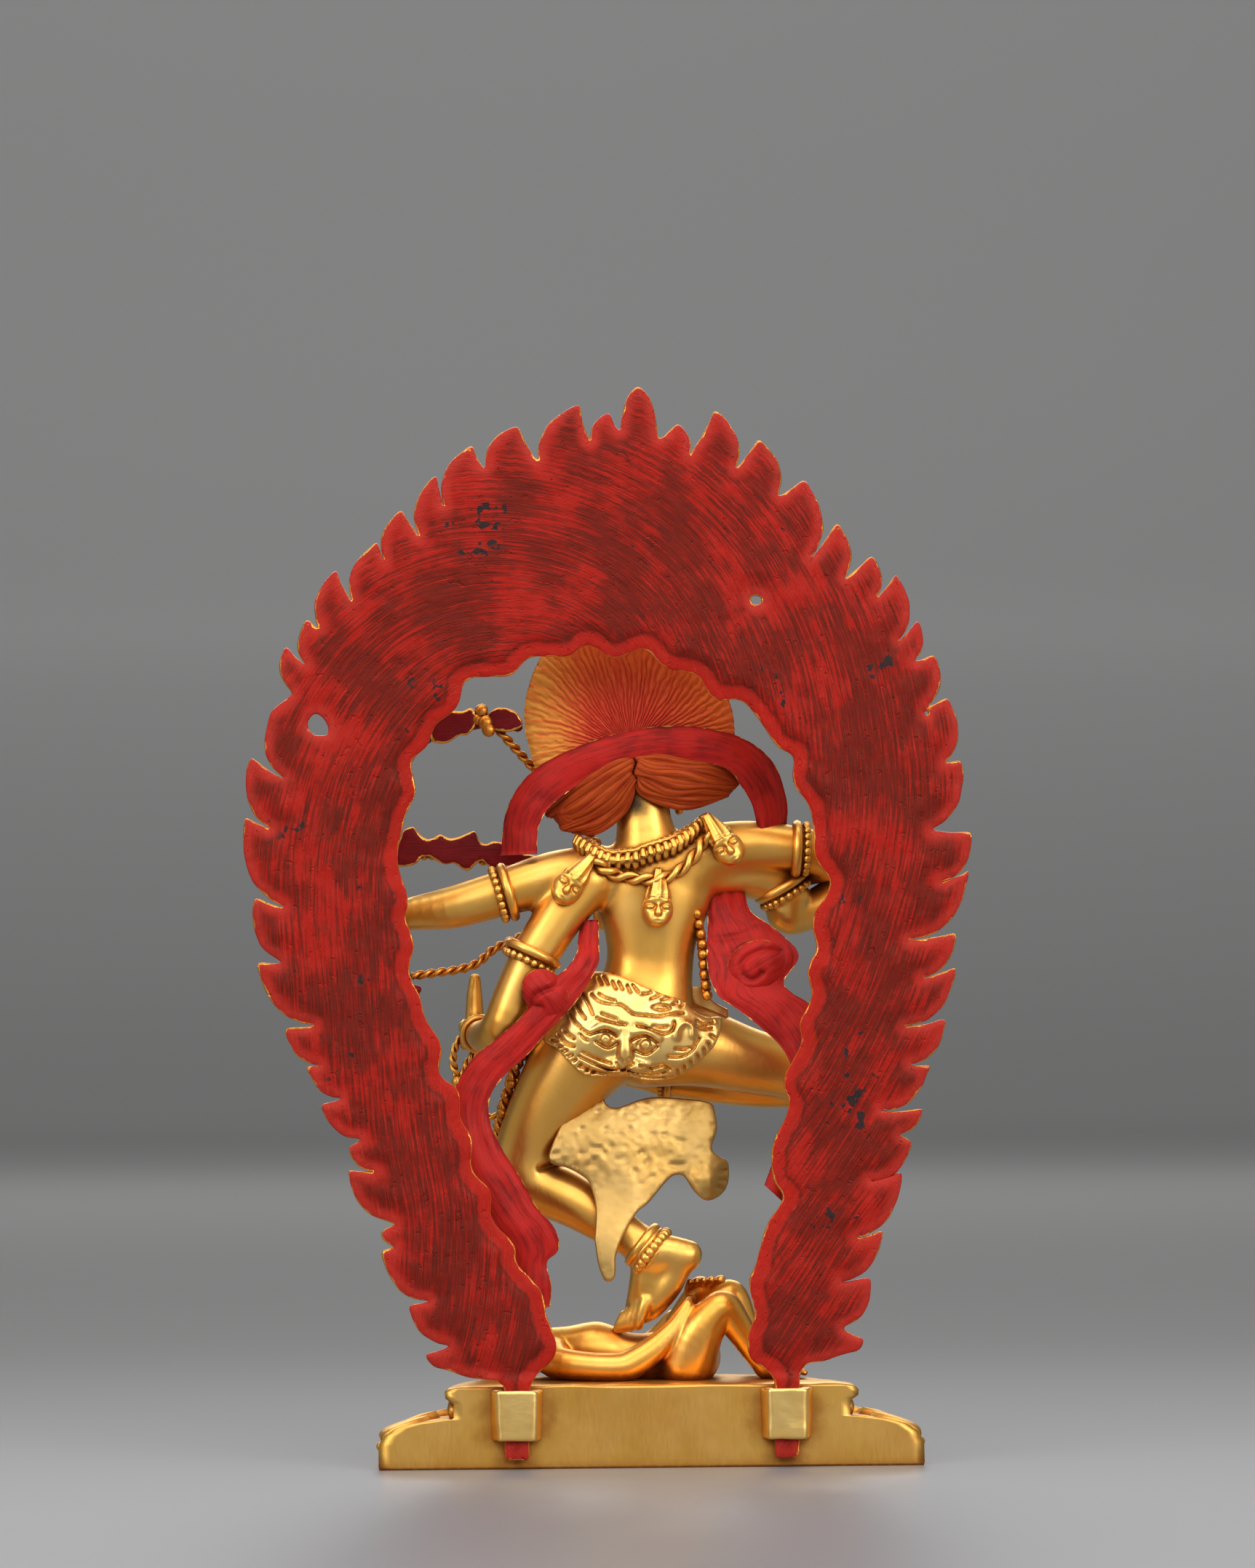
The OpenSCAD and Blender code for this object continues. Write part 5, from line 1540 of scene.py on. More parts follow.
def curl_piece(at, y, long, wide, lean, slot, seed):
    """The rolled end of a scarf: a domed oval whose slot is cut along the drawn line."""
    n, m = 44, 16
    a = np.arange(n) * 2 * math.pi / n
    r = np.linspace(0, 1, m)
    u, v = long * np.outer(np.cos(a), r), wide * np.outer(np.sin(a), r)
    c, s = math.cos(math.radians(lean)), math.sin(math.radians(lean))
    x, z = at[0] + u * c - v * s, at[1] + u * s + v * c
    flat = np.column_stack([x.ravel(), z.ravel()])
    cut = strokes(flat, [[(at[0] + px, at[1] + pz) for px, pz in slot]], 0.55).reshape(n, m)
    bump = 0.2 * lumps(np.column_stack([flat, flat[:, 0]]), 3, seed).reshape(n, m)
    back = y - 1.2 + 2.0 * (1 - r[None] ** 2.4) - 0.9 * cut + bump
    front = np.full_like(back, y - 2.4) + bump
    pts = np.vstack([np.stack([x, d, z], -1).reshape(-1, 3) for d in (back, front)])
    pts = into_view(pts)
    faces = []
    for i in range(n):
        j = (i + 1) % n
        for q in range(m - 1):
            faces.append([i * m + q, i * m + q + 1, j * m + q + 1, j * m + q])
            faces.append([n * m + i * m + q, n * m + j * m + q, n * m + j * m + q + 1,
                          n * m + i * m + q + 1])
        faces.append([i * m + m - 1, n * m + i * m + m - 1, n * m + j * m + m - 1, j * m + m - 1])
    away = np.tile((1 - r) * wide, 2 * n)
    stroke = np.stack([u, v, np.zeros_like(u)], -1).reshape(-1, 3)
    return (pts, faces), away, np.tile(stroke, (2, 1))


# Outline of the upswept hair: (angle from straight up in degrees, reach from its root)
HAIR_ROOT = (3.4, 132.0)
HAIR_REACH = [(-118, 17.0), (-100, 17.6), (-85, 18.8), (-72, 19.8), (-58, 20.6), (-45, 21.6),
              (-32, 23.8), (-20, 25.6), (-8, 26.6), (0, 27.0), (8, 26.8), (20, 26.2), (32, 25.6),
              (45, 24.4), (58, 22.6), (72, 20.6), (85, 18.8), (100, 17.6), (118, 17.0)]


def make_flame_hair():
    """The fan of hair swept up behind her head, ridged along its locks."""
    na, nr = 420, 70
    angle = np.radians(np.linspace(-118, 118, na))
    reach = np.interp(np.degrees(angle), [a for a, _ in HAIR_REACH], [r for _, r in HAIR_REACH])
    t = np.linspace(0.06, 1, nr)
    wig = np.zeros((na, nr))
    key = np.column_stack([angle * 30, np.zeros(na), np.zeros(na)])
    for width, amp in ((3.2, 0.5), (1.5, 0.35), (0.8, 0.3)):
        bands = [lumps(key + (0, 0.35 * j, 0), width, 11) for j in range(nr)]
        wig += amp * np.array(bands).T
    ridges = np.abs(((angle[:, None] * 15 + 0.8 * wig + 0.5 * np.sin(3 * t[None])) % 1) * 2 - 1)
    ridges = 1 - ridges ** 1.5
    fade = np.clip(t / 0.25, 0, 1)
    # groove: the valleys between the ridges, where the hair paint gets painted shade
    groove = (1 - ridges) * fade[None]
    r = reach[:, None] * t[None] * (1 - 0.012 * np.abs(wig) * (t[None] > 0.95))
    sway = 0.07 * np.sin(3.1 * angle[:, None] + 2.6 * t[None]) * t[None]
    x = HAIR_ROOT[0] + r * np.sin(angle[:, None] + sway)
    z = HAIR_ROOT[1] + r * np.cos(angle[:, None] + sway)
    dome = (1 - t[None] ** 2.6) ** 0.6
    back = 4.6 + 3.6 * dome + 0.55 * (ridges - 0.5) * fade[None] * (1 - 0.55 * t[None] ** 6)
    front = 4.0 - 2.2 * dome - 0.4 * (ridges - 0.5) * fade[None] * (1 - t[None] ** 6)
    verts = np.vstack([np.stack([x, y, z], -1).reshape(-1, 3) for y in (back, front)])
    idx = np.arange(na * nr).reshape(na, nr)
    a, b, c, d = idx[:-1, :-1], idx[1:, :-1], idx[1:, 1:], idx[:-1, 1:]
    quads = np.stack([a, b, c, d], -1).reshape(-1, 4)
    off = na * nr
    faces = [quads, quads[:, ::-1] + off]
    for line in (idx[:, -1], idx[::-1, 0], idx[0, :], idx[-1, ::-1]):
        faces.append(np.stack([line[:-1], line[:-1] + off, line[1:] + off, line[1:]], 1))
    ob = piece("flame_hair", (into_view(verts), np.vstack(faces)), HAIR)
    # flank: the locks on the +X side, which get the hair paint's painted highlight
    side = np.clip((np.sin(angle)[:, None] * t[None] - 0.35) * 2.2, 0, 1).ravel()
    add_value(ob, "tip", np.tile(t, 2 * na))
    add_value(ob, "flank", np.tile(side, 2))
    add_value(ob, "groove", np.tile(groove.ravel(), 2))
    stroke = np.stack(np.broadcast_arrays(r, angle[:, None] * 16, 0.0), -1).reshape(-1, 3)
    add_value(ob, "stroke", np.tile(stroke, (2, 1)) * MM)


def make_nape_hair():
    """Two sheaves of locks that part at the nape, over a smooth core."""
    core = Limb([(-13, 4.6, 128, 3.0), (-7, 5.6, 127.4, 3.9), (0, 6.2, 130, 3.4),
                 (7, 6.0, 126, 4.2), (13.5, 4.6, 122, 3.9)], 4)
    v, f = clay(core, (-19, -1, 114), (21, 14, 136), 0.45)
    # groove: the core under the locks gets the hair paint's painted shade
    strands, along, grooves = [(v, f)], [v], [np.full(len(v), 0.8)]
    rng = np.random.default_rng(4)
    lobes = [([(3.5, 132.0), (7.0, 131.0), (11.6, 129.2), (16.2, 126.2), (20.4, 122.0)],
              [(3.0, 126.0), (3.3, 124.4), (5.2, 120.9), (9.4, 117.8), (14.8, 116.8)]),
             ([(2.4, 132.0), (-2, 132.0), (-8, 132.0), (-13.6, 131.0), (-18.0, 127.6)],
              [(2.4, 126.2), (1.2, 124.2), (-2.8, 122.2), (-7.8, 122.2), (-14.2, 123.4)])]
    for top, bottom in lobes:
        top, bottom = np.array(top), np.array(bottom)
        for k in range(27):
            u = (k + 0.3 * rng.uniform(-1, 1)) / 26
            line = top * (1 - u) + bottom * u
            bulge = math.sin(math.pi * min(1, max(0, u)) ** 0.9)
            pts = []
            for i, (x, z) in enumerate(line):
                s = i / 4
                y = 9.9 + 2.2 * bulge * math.sin(math.pi * (0.25 + 0.6 * s)) - 5.0 * s ** 2.4
                wave = 0.35 * math.sin(2.6 * i + 0.5 * k)
                pts.append(seen(x + wave, z - wave, y + 0.25 * math.sin(1.7 * k)) + [0])
            path = resample(spline(pts, 6)[:, :3], 26)
            s = np.linspace(0, 1, 26)
            rad = 0.52 + 0.26 * np.sin(math.pi * s) - 0.30 * s ** 4
            tv, tf = tube(path, rad * rng.uniform(0.85, 1.1), 8)
            strands.append((tv, tf))
            run = np.repeat(s, 8)
            around = np.tile(np.arange(8) / 8, 26)
            along.append(np.column_stack([run * 15, around * 3 + 7 * k, np.zeros(len(run))]))
            # painted shade down the sides of each lock, where it meets its neighbours
            grooves.append(0.15 + 0.5 * np.abs(np.cos(around * 2 * math.pi)))
    ob = piece("nape_hair", strands, NAPE)
    add_value(ob, "tip", np.full(sum(map(len, grooves)), 0.5))
    add_value(ob, "flank", np.full(sum(map(len, grooves)), 0.4))
    add_value(ob, "groove", np.concatenate(grooves))
    add_value(ob, "stroke", np.vstack(along) * MM)


APRON_EDGE = [(10.6, 42.2), (9.9, 37.5), (8.6, 34.5), (7.0, 35.1), (6.7, 37.2), (6.7, 38.9),
    (5.6, 42.2), (2.9, 46.9), (0.6, 48.9), (-3.1, 53.2), (-4.8, 54.0), (-6.1, 53.5),
    (-7.8, 50.9), (-10.1, 49.2), (-12.7, 50.2), (-14.1, 52.5), (-14.1, 56.2), (-12.7, 57.2),
    (-11.1, 58.8), (-12.1, 62.2), (-11.7, 65.5), (-10.8, 67.2), (-6, 68), (0.6, 68.2),
    (6.2, 66.4), (8.2, 67), (9.9, 69), (15.0, 66), (18.6, 59.0), (18.6, 56.4), (15.6, 55.4),
    (12.2, 53.5), (10.9, 50.9), (10.3, 47.5)]


def make_apron():
    """The skin with a tail and a paw that hangs below the tiger skin."""
    outline = even(spline(APRON_EDGE + APRON_EDGE[:1], 6), 0.6)[:-1]

    def middle(xz):
        x, z = xz[:, 0], xz[:, 1]
        y = 7.2 + 2.2 * np.sin((x + 2) / 9) - 0.02 * (z - 56) ** 2 * (z > 56)
        y = y + 1.6 * (1 + np.tanh((46 - z) / 6)) + 1.0 * np.exp(-((x + 10) / 3) ** 2)
        return y

    def back(xz, dist):
        p = with_column(xz, 0.0)
        pit = np.clip(lumps(p, 1.1, 21) - 0.05, 0, 1) * 1.2 + 0.3 * lumps(p, 0.7, 22)
        pit = pit * np.clip((xz[:, 1] - 50) / 6, 0.15, 1)
        dish = -0.7 * np.exp(-((xz[:, 0] - 1) / 8) ** 2 - ((xz[:, 1] - 61) / 6) ** 2)
        paw = 1.6 * np.exp(-((xz[:, 0] + 10.5) / 3.2) ** 2 - ((xz[:, 1] - 53) / 3.4) ** 2)
        toe = -0.8 * strokes(xz, [[(-14.3, 55), (-12.6, 54.6)], [(-14.3, 53), (-12.6, 53)],
                                  [(-13.6, 51.2), (-12, 51.8)]], 0.35)
        return (middle(xz) + 0.8 + 0.28 * lumps(p, 4.5, 23) - 0.32 * pit + dish + paw
                + toe * (dist > 0.2))

    def front(xz, dist):
        p = with_column(xz, 0.0)
        fur = 0.22 * lumps(p * (3, 3, 0.5), 2.0, 24)
        return middle(xz) - 0.8 + fur

    mesh, _ = plate(outline, [], 0.5, front, back, 0.3)
    piece("skin_apron", (into_view(mesh[0]), mesh[1]), GILT_APRON_SHADED)


# ---------------------------------------------------------------- jewellery and garlands

def banded(centre, axis, radius, bead, flat=1.0, smooth_at=-0.9, bead_at=0.9, section=0.95):
    """A smooth hoop and a row of beads side by side round a limb."""
    c, w = np.array(centre, float), unit(axis)
    count = int(round(2 * math.pi * radius / (bead * 1.9)))
    return ([hoop(c + w * smooth_at, w, radius, section, 48, flat)]
            + [hoop(c + w * bead_at, w, radius - bead * 0.55, bead * 0.8, 40, flat)]
            + beads(ring_points(c + w * bead_at, w, radius, count, flat), bead, None, 6, 8))


ARMLETS = [((26.4, 6, 106.1), (9.8, -0.2, -2.8), 4.75, 0.8),
           ((21.4, 8.8, 94.0), (5.2, 0.4, -10.5), 4.75, 0.78),
           ((-29.6, 5, 114.2), (-10, 0, -0.4), 4.5, 0.75),
           ((-26.6, 0.5, 106.6), (-0.5, -0.1, -0.85), 4.8, 0.75)]
BRACELETS = [((46, 3.3, 101.7), (10, -1.8, -1.8), 3.3), ((30.9, -3.4, 79.8), (0.9, -5, 0.6), 3.1),
             ((-10, -9.4, 106.6), (10, -2.4, -2), 3.0), ((-38.8, -4.4, 109.3), (-4, -1.6, 5), 3.1)]


def make_jewellery():
    """Bands on the upper arms, the wrists and the ankles."""
    piece("armlets", [part for place in ARMLETS for part in banded(*place)], GILT)
    cuffs = []
    for place in BRACELETS:
        cuffs += banded(*place, 0.5, smooth_at=-0.7, bead_at=0.7, section=0.7)
    piece("bracelets", cuffs, GILT)
    w = unit((-6.6, 1.2, -5.2))
    c = np.array(seen(0.05, 39.85, 6.8))
    anklets = [hoop(c + w * along, w, radius, section, n) for along, radius, section, n in
               ((-2.2, 3.9, 1.0, 48), (-1.2, 4.0, 0.7, 48), (0, 4.1, 0.8, 40), (1.1, 4.1, 0.55, 40))]
    anklets += beads(ring_points(c, w, 4.5, 22), 1.05, None, 6, 9)
    anklets += banded((-4.5, -4.3, 70.6), (6, -0.8, 0.6), 3.0, 0.5, smooth_at=-0.6, bead_at=0.7,
                      section=0.7)
    piece("anklets", anklets, GILT)


def round_body(stations, field, push):
    """Each station moved onto the surface of the field, then out by push."""
    p = np.array(stations, float)
    for _ in range(6):
        e = 0.05
        g = np.column_stack([(field(p + d) - field(p - d)) / (2 * e) for d in np.eye(3) * e])
        p = p - g * (field(p) - push)[:, None] / np.maximum((g * g).sum(1), 0.2)[:, None]
    return p


COLLAR = [(2, 12, 112.6), (8, 11, 113.0), (11.8, 7, 115.2), (10.8, 1.5, 116.6), (6.5, -3, 112.5),
          (-0.6, -6, 110.2), (-7.5, -3, 112.5), (-11, 1.5, 117.6), (-10.0, 7.5, 118.6),
          (-5, 11, 115.0)]


def make_collar():
    """The ribbed collar, a long necklace and its pendant."""
    body = torso_shape()
    ring = spline(COLLAR + COLLAR[:1], 12)[:-1]
    out = []
    line = round_body(even(np.vstack([ring, ring[:1]]), 1.45)[:-1], body, 0.9)
    top = line + np.array([0, 0, 1.5]) - 0.08 * (line - line.mean(0))
    top = round_body(top, body, 0.8)
    out.append(tube(line, 1.05, 10, (0, 0, 1), closed=True))
    out.append(tube(top, 0.7, 8, (0, 0, 1), closed=True))
    away = (line - line.mean(0)) * (1, 1, 0)
    away /= np.linalg.norm(away, axis=1)[:, None]
    for p, q in zip(line, away):
        rib = [p + (0, 0, -1.6) + q * 0.4, p + q * 1.0, p + (0, 0, 1.4) + q * 0.3]
        out.append(tube(spline(rib, 3), 0.62, 8, (0.1, 0.2, 1)))
    out += beads(even(np.vstack([top, top[:1]]), 1.15)[:-1] + 0.35 * np.array([0, 0, 1]), 0.5,
                 None, 5, 7)
    # Long necklace and its pendant on her breast
    chain = spline([(8.6, -1.5, 110.5), (6.8, -6, 105), (3, -7, 99.5), (-1, -6, 97.2),
                    (-5, -7, 99.5), (-9, -6, 105), (-10.6, -1.5, 110.5)], 10)
    chain = round_body(chain, body, 0.5)
    out += beads(even(chain, 1.3), 0.62, None, 6, 8)
    pend = round_body(np.array([(-1.0, -6.5, 95.6)]), body, 0.8)[0]
    out += beads(np.array([pend]), 1.7, (1, 0.6, 1.25), 8, 12)
    out += beads(ring_points(pend, (0, 1, 0), 2.0, 12), 0.42, None, 5, 7)
    piece("collar", out, GILT)


ROPE = [(10.4, 112.2), (8.4, 110.4), (6.2, 109.4), (3.2, 108.6), (0.4, 108.3), (-1.2, 108.3),
        (-3.2, 108.8), (-5.9, 110.3), (-8.3, 112.8), (-9.9, 115.8), (-10.8, 118.4)]


def make_rope():
    """The twisted rope garland over her shoulders and breast."""
    body = torso_shape()
    back = round_body(seen_all([(x, z, 11.5) for x, z in ROPE]), body, 0.8)
    front = round_body(np.array([(-10.6, 2, 118.5), (-10.8, -2, 113), (-9.4, -6, 106), (-6, -6.5, 100),
                                 (0, -6, 96.5), (6, -6, 99.5), (9.2, -5, 105.5), (10.6, -1, 111.5),
                                 (11.0, 4, 114.0)]), body, 0.8)
    loop = np.vstack([back, front])
    line = spline(np.vstack([loop, loop[:1]]), 8)
    piece("rope_garland", rope(even(line, 0.5), 1.3, 6.4, (0, 0.3, 1), sides=10), GILT)


def severed_face(p):
    """A small severed head, face to +Y, its hair swept up into a tuft."""
    d = egg(p, (0, 0.1, 0), (2.65, 2.0, 3.1))
    d = smin(d, egg(p, (0, 1.2, -1.7), (1.5, 0.8, 1.2)), 0.7)
    nose = Limb([(0, 1.7, 1.1, 0.35), (0, 2.25, -0.1, 0.5), (0, 2.3, -0.75, 0.62)], 3)
    d = smin(d, nose(p), 0.3)
    for s in (-1, 1):
        d = smax(d, -egg(p, (s * 1.25, 2.2, 0.35), (1.0, 0.9, 0.75)), 0.35)
        d = smin(d, egg(p, (s * 1.28, 1.35, 0.3), (0.78, 0.62, 0.5)), 0.12)
        brow = Limb([(s * 0.4, 1.95, 1.15, 0.22), (s * 1.4, 1.75, 1.45, 0.25),
                     (s * 2.2, 1.1, 1.1, 0.2)], 3)
        d = smin(d, brow(p), 0.3)
    lip = Limb([(-1.0, 1.55, -1.9, 0.2), (0, 2.0, -1.75, 0.28), (1.0, 1.55, -1.9, 0.2)], 3)
    d = smin(d, lip(p), 0.2)
    lip = Limb([(-0.8, 1.55, -2.15, 0.18), (0, 1.9, -2.35, 0.26), (0.8, 1.55, -2.15, 0.18)], 3)
    d = smin(d, lip(p), 0.2)
    tuft = Limb([(0, 0, 2.2, 2.4), (0, 0.1, 3.8, 1.8), (0, 0.2, 5.4, 1.25), (0, 0.1, 6.4, 1.0)], 4)
    a = np.arctan2(p[:, 0], p[:, 1] + 1.2)
    hair = tuft(p) + 0.30 * np.abs(np.sin(a * 7 + 0.2 * p[:, 2])) * (p[:, 2] > 1.7)
    band = 0.12 * np.exp(-((p[:, 2] - 2.1 - 0.1 * p[:, 0] ** 2) / 0.25) ** 2)
    return smin(d, hair, 0.15) - band


def make_heads():
    """Severed heads strung on the rope garland, behind and in front."""
    v, f = clay(severed_face, (-3.3, -2.9, -3.9), (3.3, 3.4, 8.2), 0.155)
    body = torso_shape()
    out = []
    places = [(15.0, 11.6, 106.5, 38), (-1.35, 12.4, 102.8, 2), (-14.4, 10.5, 114.0, -33)]
    for x, y, z, lean in places:
        c = round_body(np.array([seen(x, z, y)]), body, 0.9)[0]
        r = turn((0, 1, 0), -lean) @ turn((1, 0, 0), 6)
        out.append(((v * 1.1) @ r.T + c, f))
    for x, z, lean in ((-6.0, 99.0, 12), (1.6, 94.5, 0), (8.4, 99.5, -16), (-10.6, 104.5, 26)):
        c = round_body(np.array([(x, -8, z)]), body, 1.0)[0]
        r = turn((0, 1, 0), lean) @ turn((0, 0, 1), 180)
        out.append(((v * 0.95) @ r.T + c, f))
    piece("garland_heads", out, GILT)


def make_head_garland():
    """The long garland: down the outside of the standing thigh and down her right flank."""
    path = seen_all([(18.2, 84, 6), (21.8, 79.5, 4.6), (24.4, 75, 3), (26.2, 70, 2),
                     (27.6, 65, 1.5), (28.2, 61, 1), (28.0, 57, 0.5), (25.5, 53, -3)])
    line = even(spline(path, 8), 1.15)
    rng = np.random.default_rng(8)
    knots = []
    for k, p in enumerate(line):
        knots += beads([p + (0.5 * math.cos(k * 2.4), 0.8 * math.sin(k * 2.4), 0)],
                       rng.uniform(0.75, 1.05), None, 5, 7)
    knots += rope(even(line, 0.6), 1.2, 4.0)
    path = seen_all([(-8.6, 102, 7.5), (-9.4, 97, 7.0), (-9.8, 92, 7.2), (-10.4, 87, 7.6)])
    knots += rope(even(spline(path, 6), 0.6), 1.0, 3.2)
    knots += beads(even(spline(path, 6), 2.0) + (0, 0.8, 0), 1.0, None, 6, 8)
    piece("head_garland", knots, GILT_DEEP)


def make_crown():
    """The five-leaf crown on its double band."""
    a = np.radians(np.linspace(-102, 102, 45))
    band = np.column_stack([HEAD_X + 7.9 * np.sin(a), 2.4 - 7.9 * np.cos(a), np.full_like(a, 136.4)])
    out = [tube(band, 0.75, 8, (0, 0, 1)), tube(band + (0, 0, 1.8), 0.5, 8, (0, 0, 1))]
    between = (band - (HEAD_X, 2.4, 0)) * (1.03, 1.03, 1) + (HEAD_X, 2.4, 0.9)
    out += beads(even(between, 1.5), 0.6, None, 6, 8)
    for i in range(-2, 3):
        a = math.radians(i * 34)
        c = np.array([HEAD_X + 8.2 * math.sin(a), 2.4 - 8.2 * math.cos(a), 138.4])
        away = np.array([math.sin(a), -math.cos(a), 0.15])
        tall = 8.6 - abs(i) * 1.1
        out.append(petal(c, away, 2.6, tall, 0.9, 0.8))
        mid = c + np.array([away[0], away[1], 0]) * 1.5 + np.array([0, 0, tall * 0.42])
        out += beads([mid], 0.95, (1, 1, 1.3), 7, 10)
        out += beads(ring_points(mid - away * 0.3, away, 1.45, 10), 0.34, None, 4, 6)
        out += beads([c + away * 1.2 + np.array([0, 0, tall + 0.5])], 0.75, None, 6, 8)
    piece("crown", out, GILT)


def make_earrings():
    """A ring with beads round a smaller ring and a pearl, hung from each ear."""
    rings = []
    for s in (-1, 1):
        c = np.array([HEAD_X + s * 8.9, 1.6, 124.0])
        rings += [hoop(c, (1, 0, 0), 2.5, 0.75, 36), hoop(c + (s * 0.4, 0, 0), (1, 0, 0), 1.3, 0.5, 28)]
        rings += beads([c + (s * 0.5, 0, 0)], 0.9, None, 6, 10)
        rings += beads(ring_points(c + (s * 0.2, 0, 0), (1, 0, 0), 2.6, 14), 0.55, None, 5, 8)
        hanger = [(HEAD_X + s * 7.2, 1.4, 126.4), (HEAD_X + s * 8.2, 1.5, 126.8), c + (0, 0, 2.0)]
        rings += [tube(hanger, 0.6, 8)]
    piece("earrings", rings, GILT)


def make_bone_apron():
    """The belt of bone beads with drops and swags on her front."""
    hips = [Limb(STANDING[:4]), Limb(RAISED[:3])]

    def skirt(p):
        d = smin(hips[0](p), hips[1](p), 5)
        return smin(d, egg(p, (3.0, 4.6, 82), (12.4, 9.0, 9)), 5)
    belt = round_body(spline([(-9.5, -1.5, 86.8), (-7.5, -4, 86.2), (-2, -6, 85.4), (3, -6, 85),
                              (9, -4, 85.6), (13.2, -1.5, 86.8)], 8), skirt, 2.0)
    out = [tube(belt, 1.0, 8, (0, 0, 1))]
    out += beads(even(belt, 1.9) + (0, -0.9, 0), 0.72, None, 6, 8)
    lengths = (5, 6, 6, 6, 5)
    starts = belt[np.linspace(5, len(belt) - 6, 5).astype(int)]
    for k, (top, drop) in enumerate(zip(starts, lengths)):
        line = np.array([top + (0, -0.4 - 0.05 * j, -j) for j in range(drop + 1)])
        line = round_body(line, skirt, 2.2) * (1, 1, 0) + line * (0, 0, 1)
        line[:, 1] = np.minimum(line[:, 1], top[1] + 1.2)
        out += beads(even(line, 1.25), 0.58, None, 5, 7)
        out += beads([line[-1] + (0, 0, -1.2)], 1.15, (0.8, 0.8, 1.4), 6, 9)
        if k < 4:
            other = starts[k + 1]
            mid = (line[4] + other + (0, 0, -4)) / 2 + (0, -0.8, -3.4)
            swag = spline([line[2], mid, other + (0, -0.5, -2)], 8)
            out += beads(even(swag, 1.2), 0.5, None, 5, 7)
    piece("bone_apron", out, GILT)


# ---------------------------------------------------------------- attributes

def leaf_strip(top, bottom, y, thick):
    """A cut metal strip between two drawn edges, seen from behind at depth y."""
    outline = even(np.array(top + bottom[::-1] + top[:1], float), 0.5)[:-1]
    soft = 0.25 * np.roll(outline, 1, 0) + 0.5 * outline + 0.25 * np.roll(outline, -1, 0)
    (v, f), away = plate(soft, [], 0.9, lambda p, d: np.full(len(d), -thick / 2),
                         lambda p, d: np.full(len(d), thick / 2), 0.25)
    place = np.array([seen(p[0], p[2], y(p[0], p[2]) if callable(y) else y) for p in v])
    place[:, 1] += v[:, 1]
    return (place, f), away, with_column(v[:, [0, 2]], 0.0)


def make_bow():
    """The bow, its lotus petals and the knot of its string."""
    limb_line = [(23.5, 3.0, 137.5, 1.2), (31, 2.5, 138.3, 1.6), (40, 1.5, 136.5, 1.9),
                 (48, 0, 127, 2.1), (52.4, -0.5, 114, 2.2), (52.6, -0.5, 102, 2.0),
                 (51, 0, 94, 2.1), (47, 1, 89.5, 1.8), (42.6, 1.5, 88, 1.2)]
    stem = Limb(limb_line, 5)

    def field(p):
        d = stem(p) + 0.5
        swirl = np.abs(np.sin(p[:, 2] * 0.9 + p[:, 0] * 0.6))
        return d - 0.35 * swirl
    v, f = clay(field, (20, -4, 84), (56, 6.5, 142), 0.32)
    ob = piece("bow", (relax(v, f), f), BOW_PAINT)
    add_value(ob, "away", np.full(len(v), 3.0))
    add_value(ob, "stroke", v * MM)
    # The flower-edged back of the bow's upper limb, on either side of the string's knot
    top = [(40.2, 138.6), (38, 139), (36, 139.6), (34.4, 139.4), (33, 140.2), (32, 139.6)]
    low = [(40.4, 133.9), (38, 133.4), (36.5, 134), (35, 135.2), (33.6, 135.0), (32, 136.6)]
    part_a = leaf_strip(top, low, 3.4, 1.2)
    top = [(29.6, 139.2), (28, 140.2), (26, 140), (24.6, 139.4), (23.4, 137.8)]
    low = [(29.4, 136.6), (28, 135.9), (26, 135.6), (24.6, 136.0), (23.2, 136.8)]
    part_b = leaf_strip(top, low, 3.8, 1.2)
    painted("bow_petals", [part_a, part_b], BOW_PAINT, added=True)
    knot = beads(np.array([seen(30.9, 139.6, 3.6), seen(30.2, 137.4, 4.0), seen(31.6, 138, 3.4),
                           seen(29.6, 136, 4.2)]), [1.3, 1.5, 1.2, 1.3], (1, 0.8, 1), 7, 9)
    piece("bow_knot", knot, GILT_DEEP, added=True)


def make_bowstring():
    """The string from the upper tip to her drawing hand, and on to the lower tip."""
    string = [seen(30, 138.5, 3.4), seen(22, 129.6, 0.5), (0.6, -12, 107.2), (2.6, -11.4, 105.2),
              seen(26.5, 96.9, -2.5), seen(33, 92.6, -0.5), seen(44, 90.8, 1)]
    upper = even(np.array(string[:4], float), 0.5)
    lower = even(spline(string[3:], 6), 0.5)
    strands = rope(upper, 0.92, 4.2, (0, 1, 0.2), sides=9)
    strands += rope(lower, 0.92, 4.2, (0, 1, 0.2), sides=9)
    piece("bowstring", strands, GILT_DEEP)


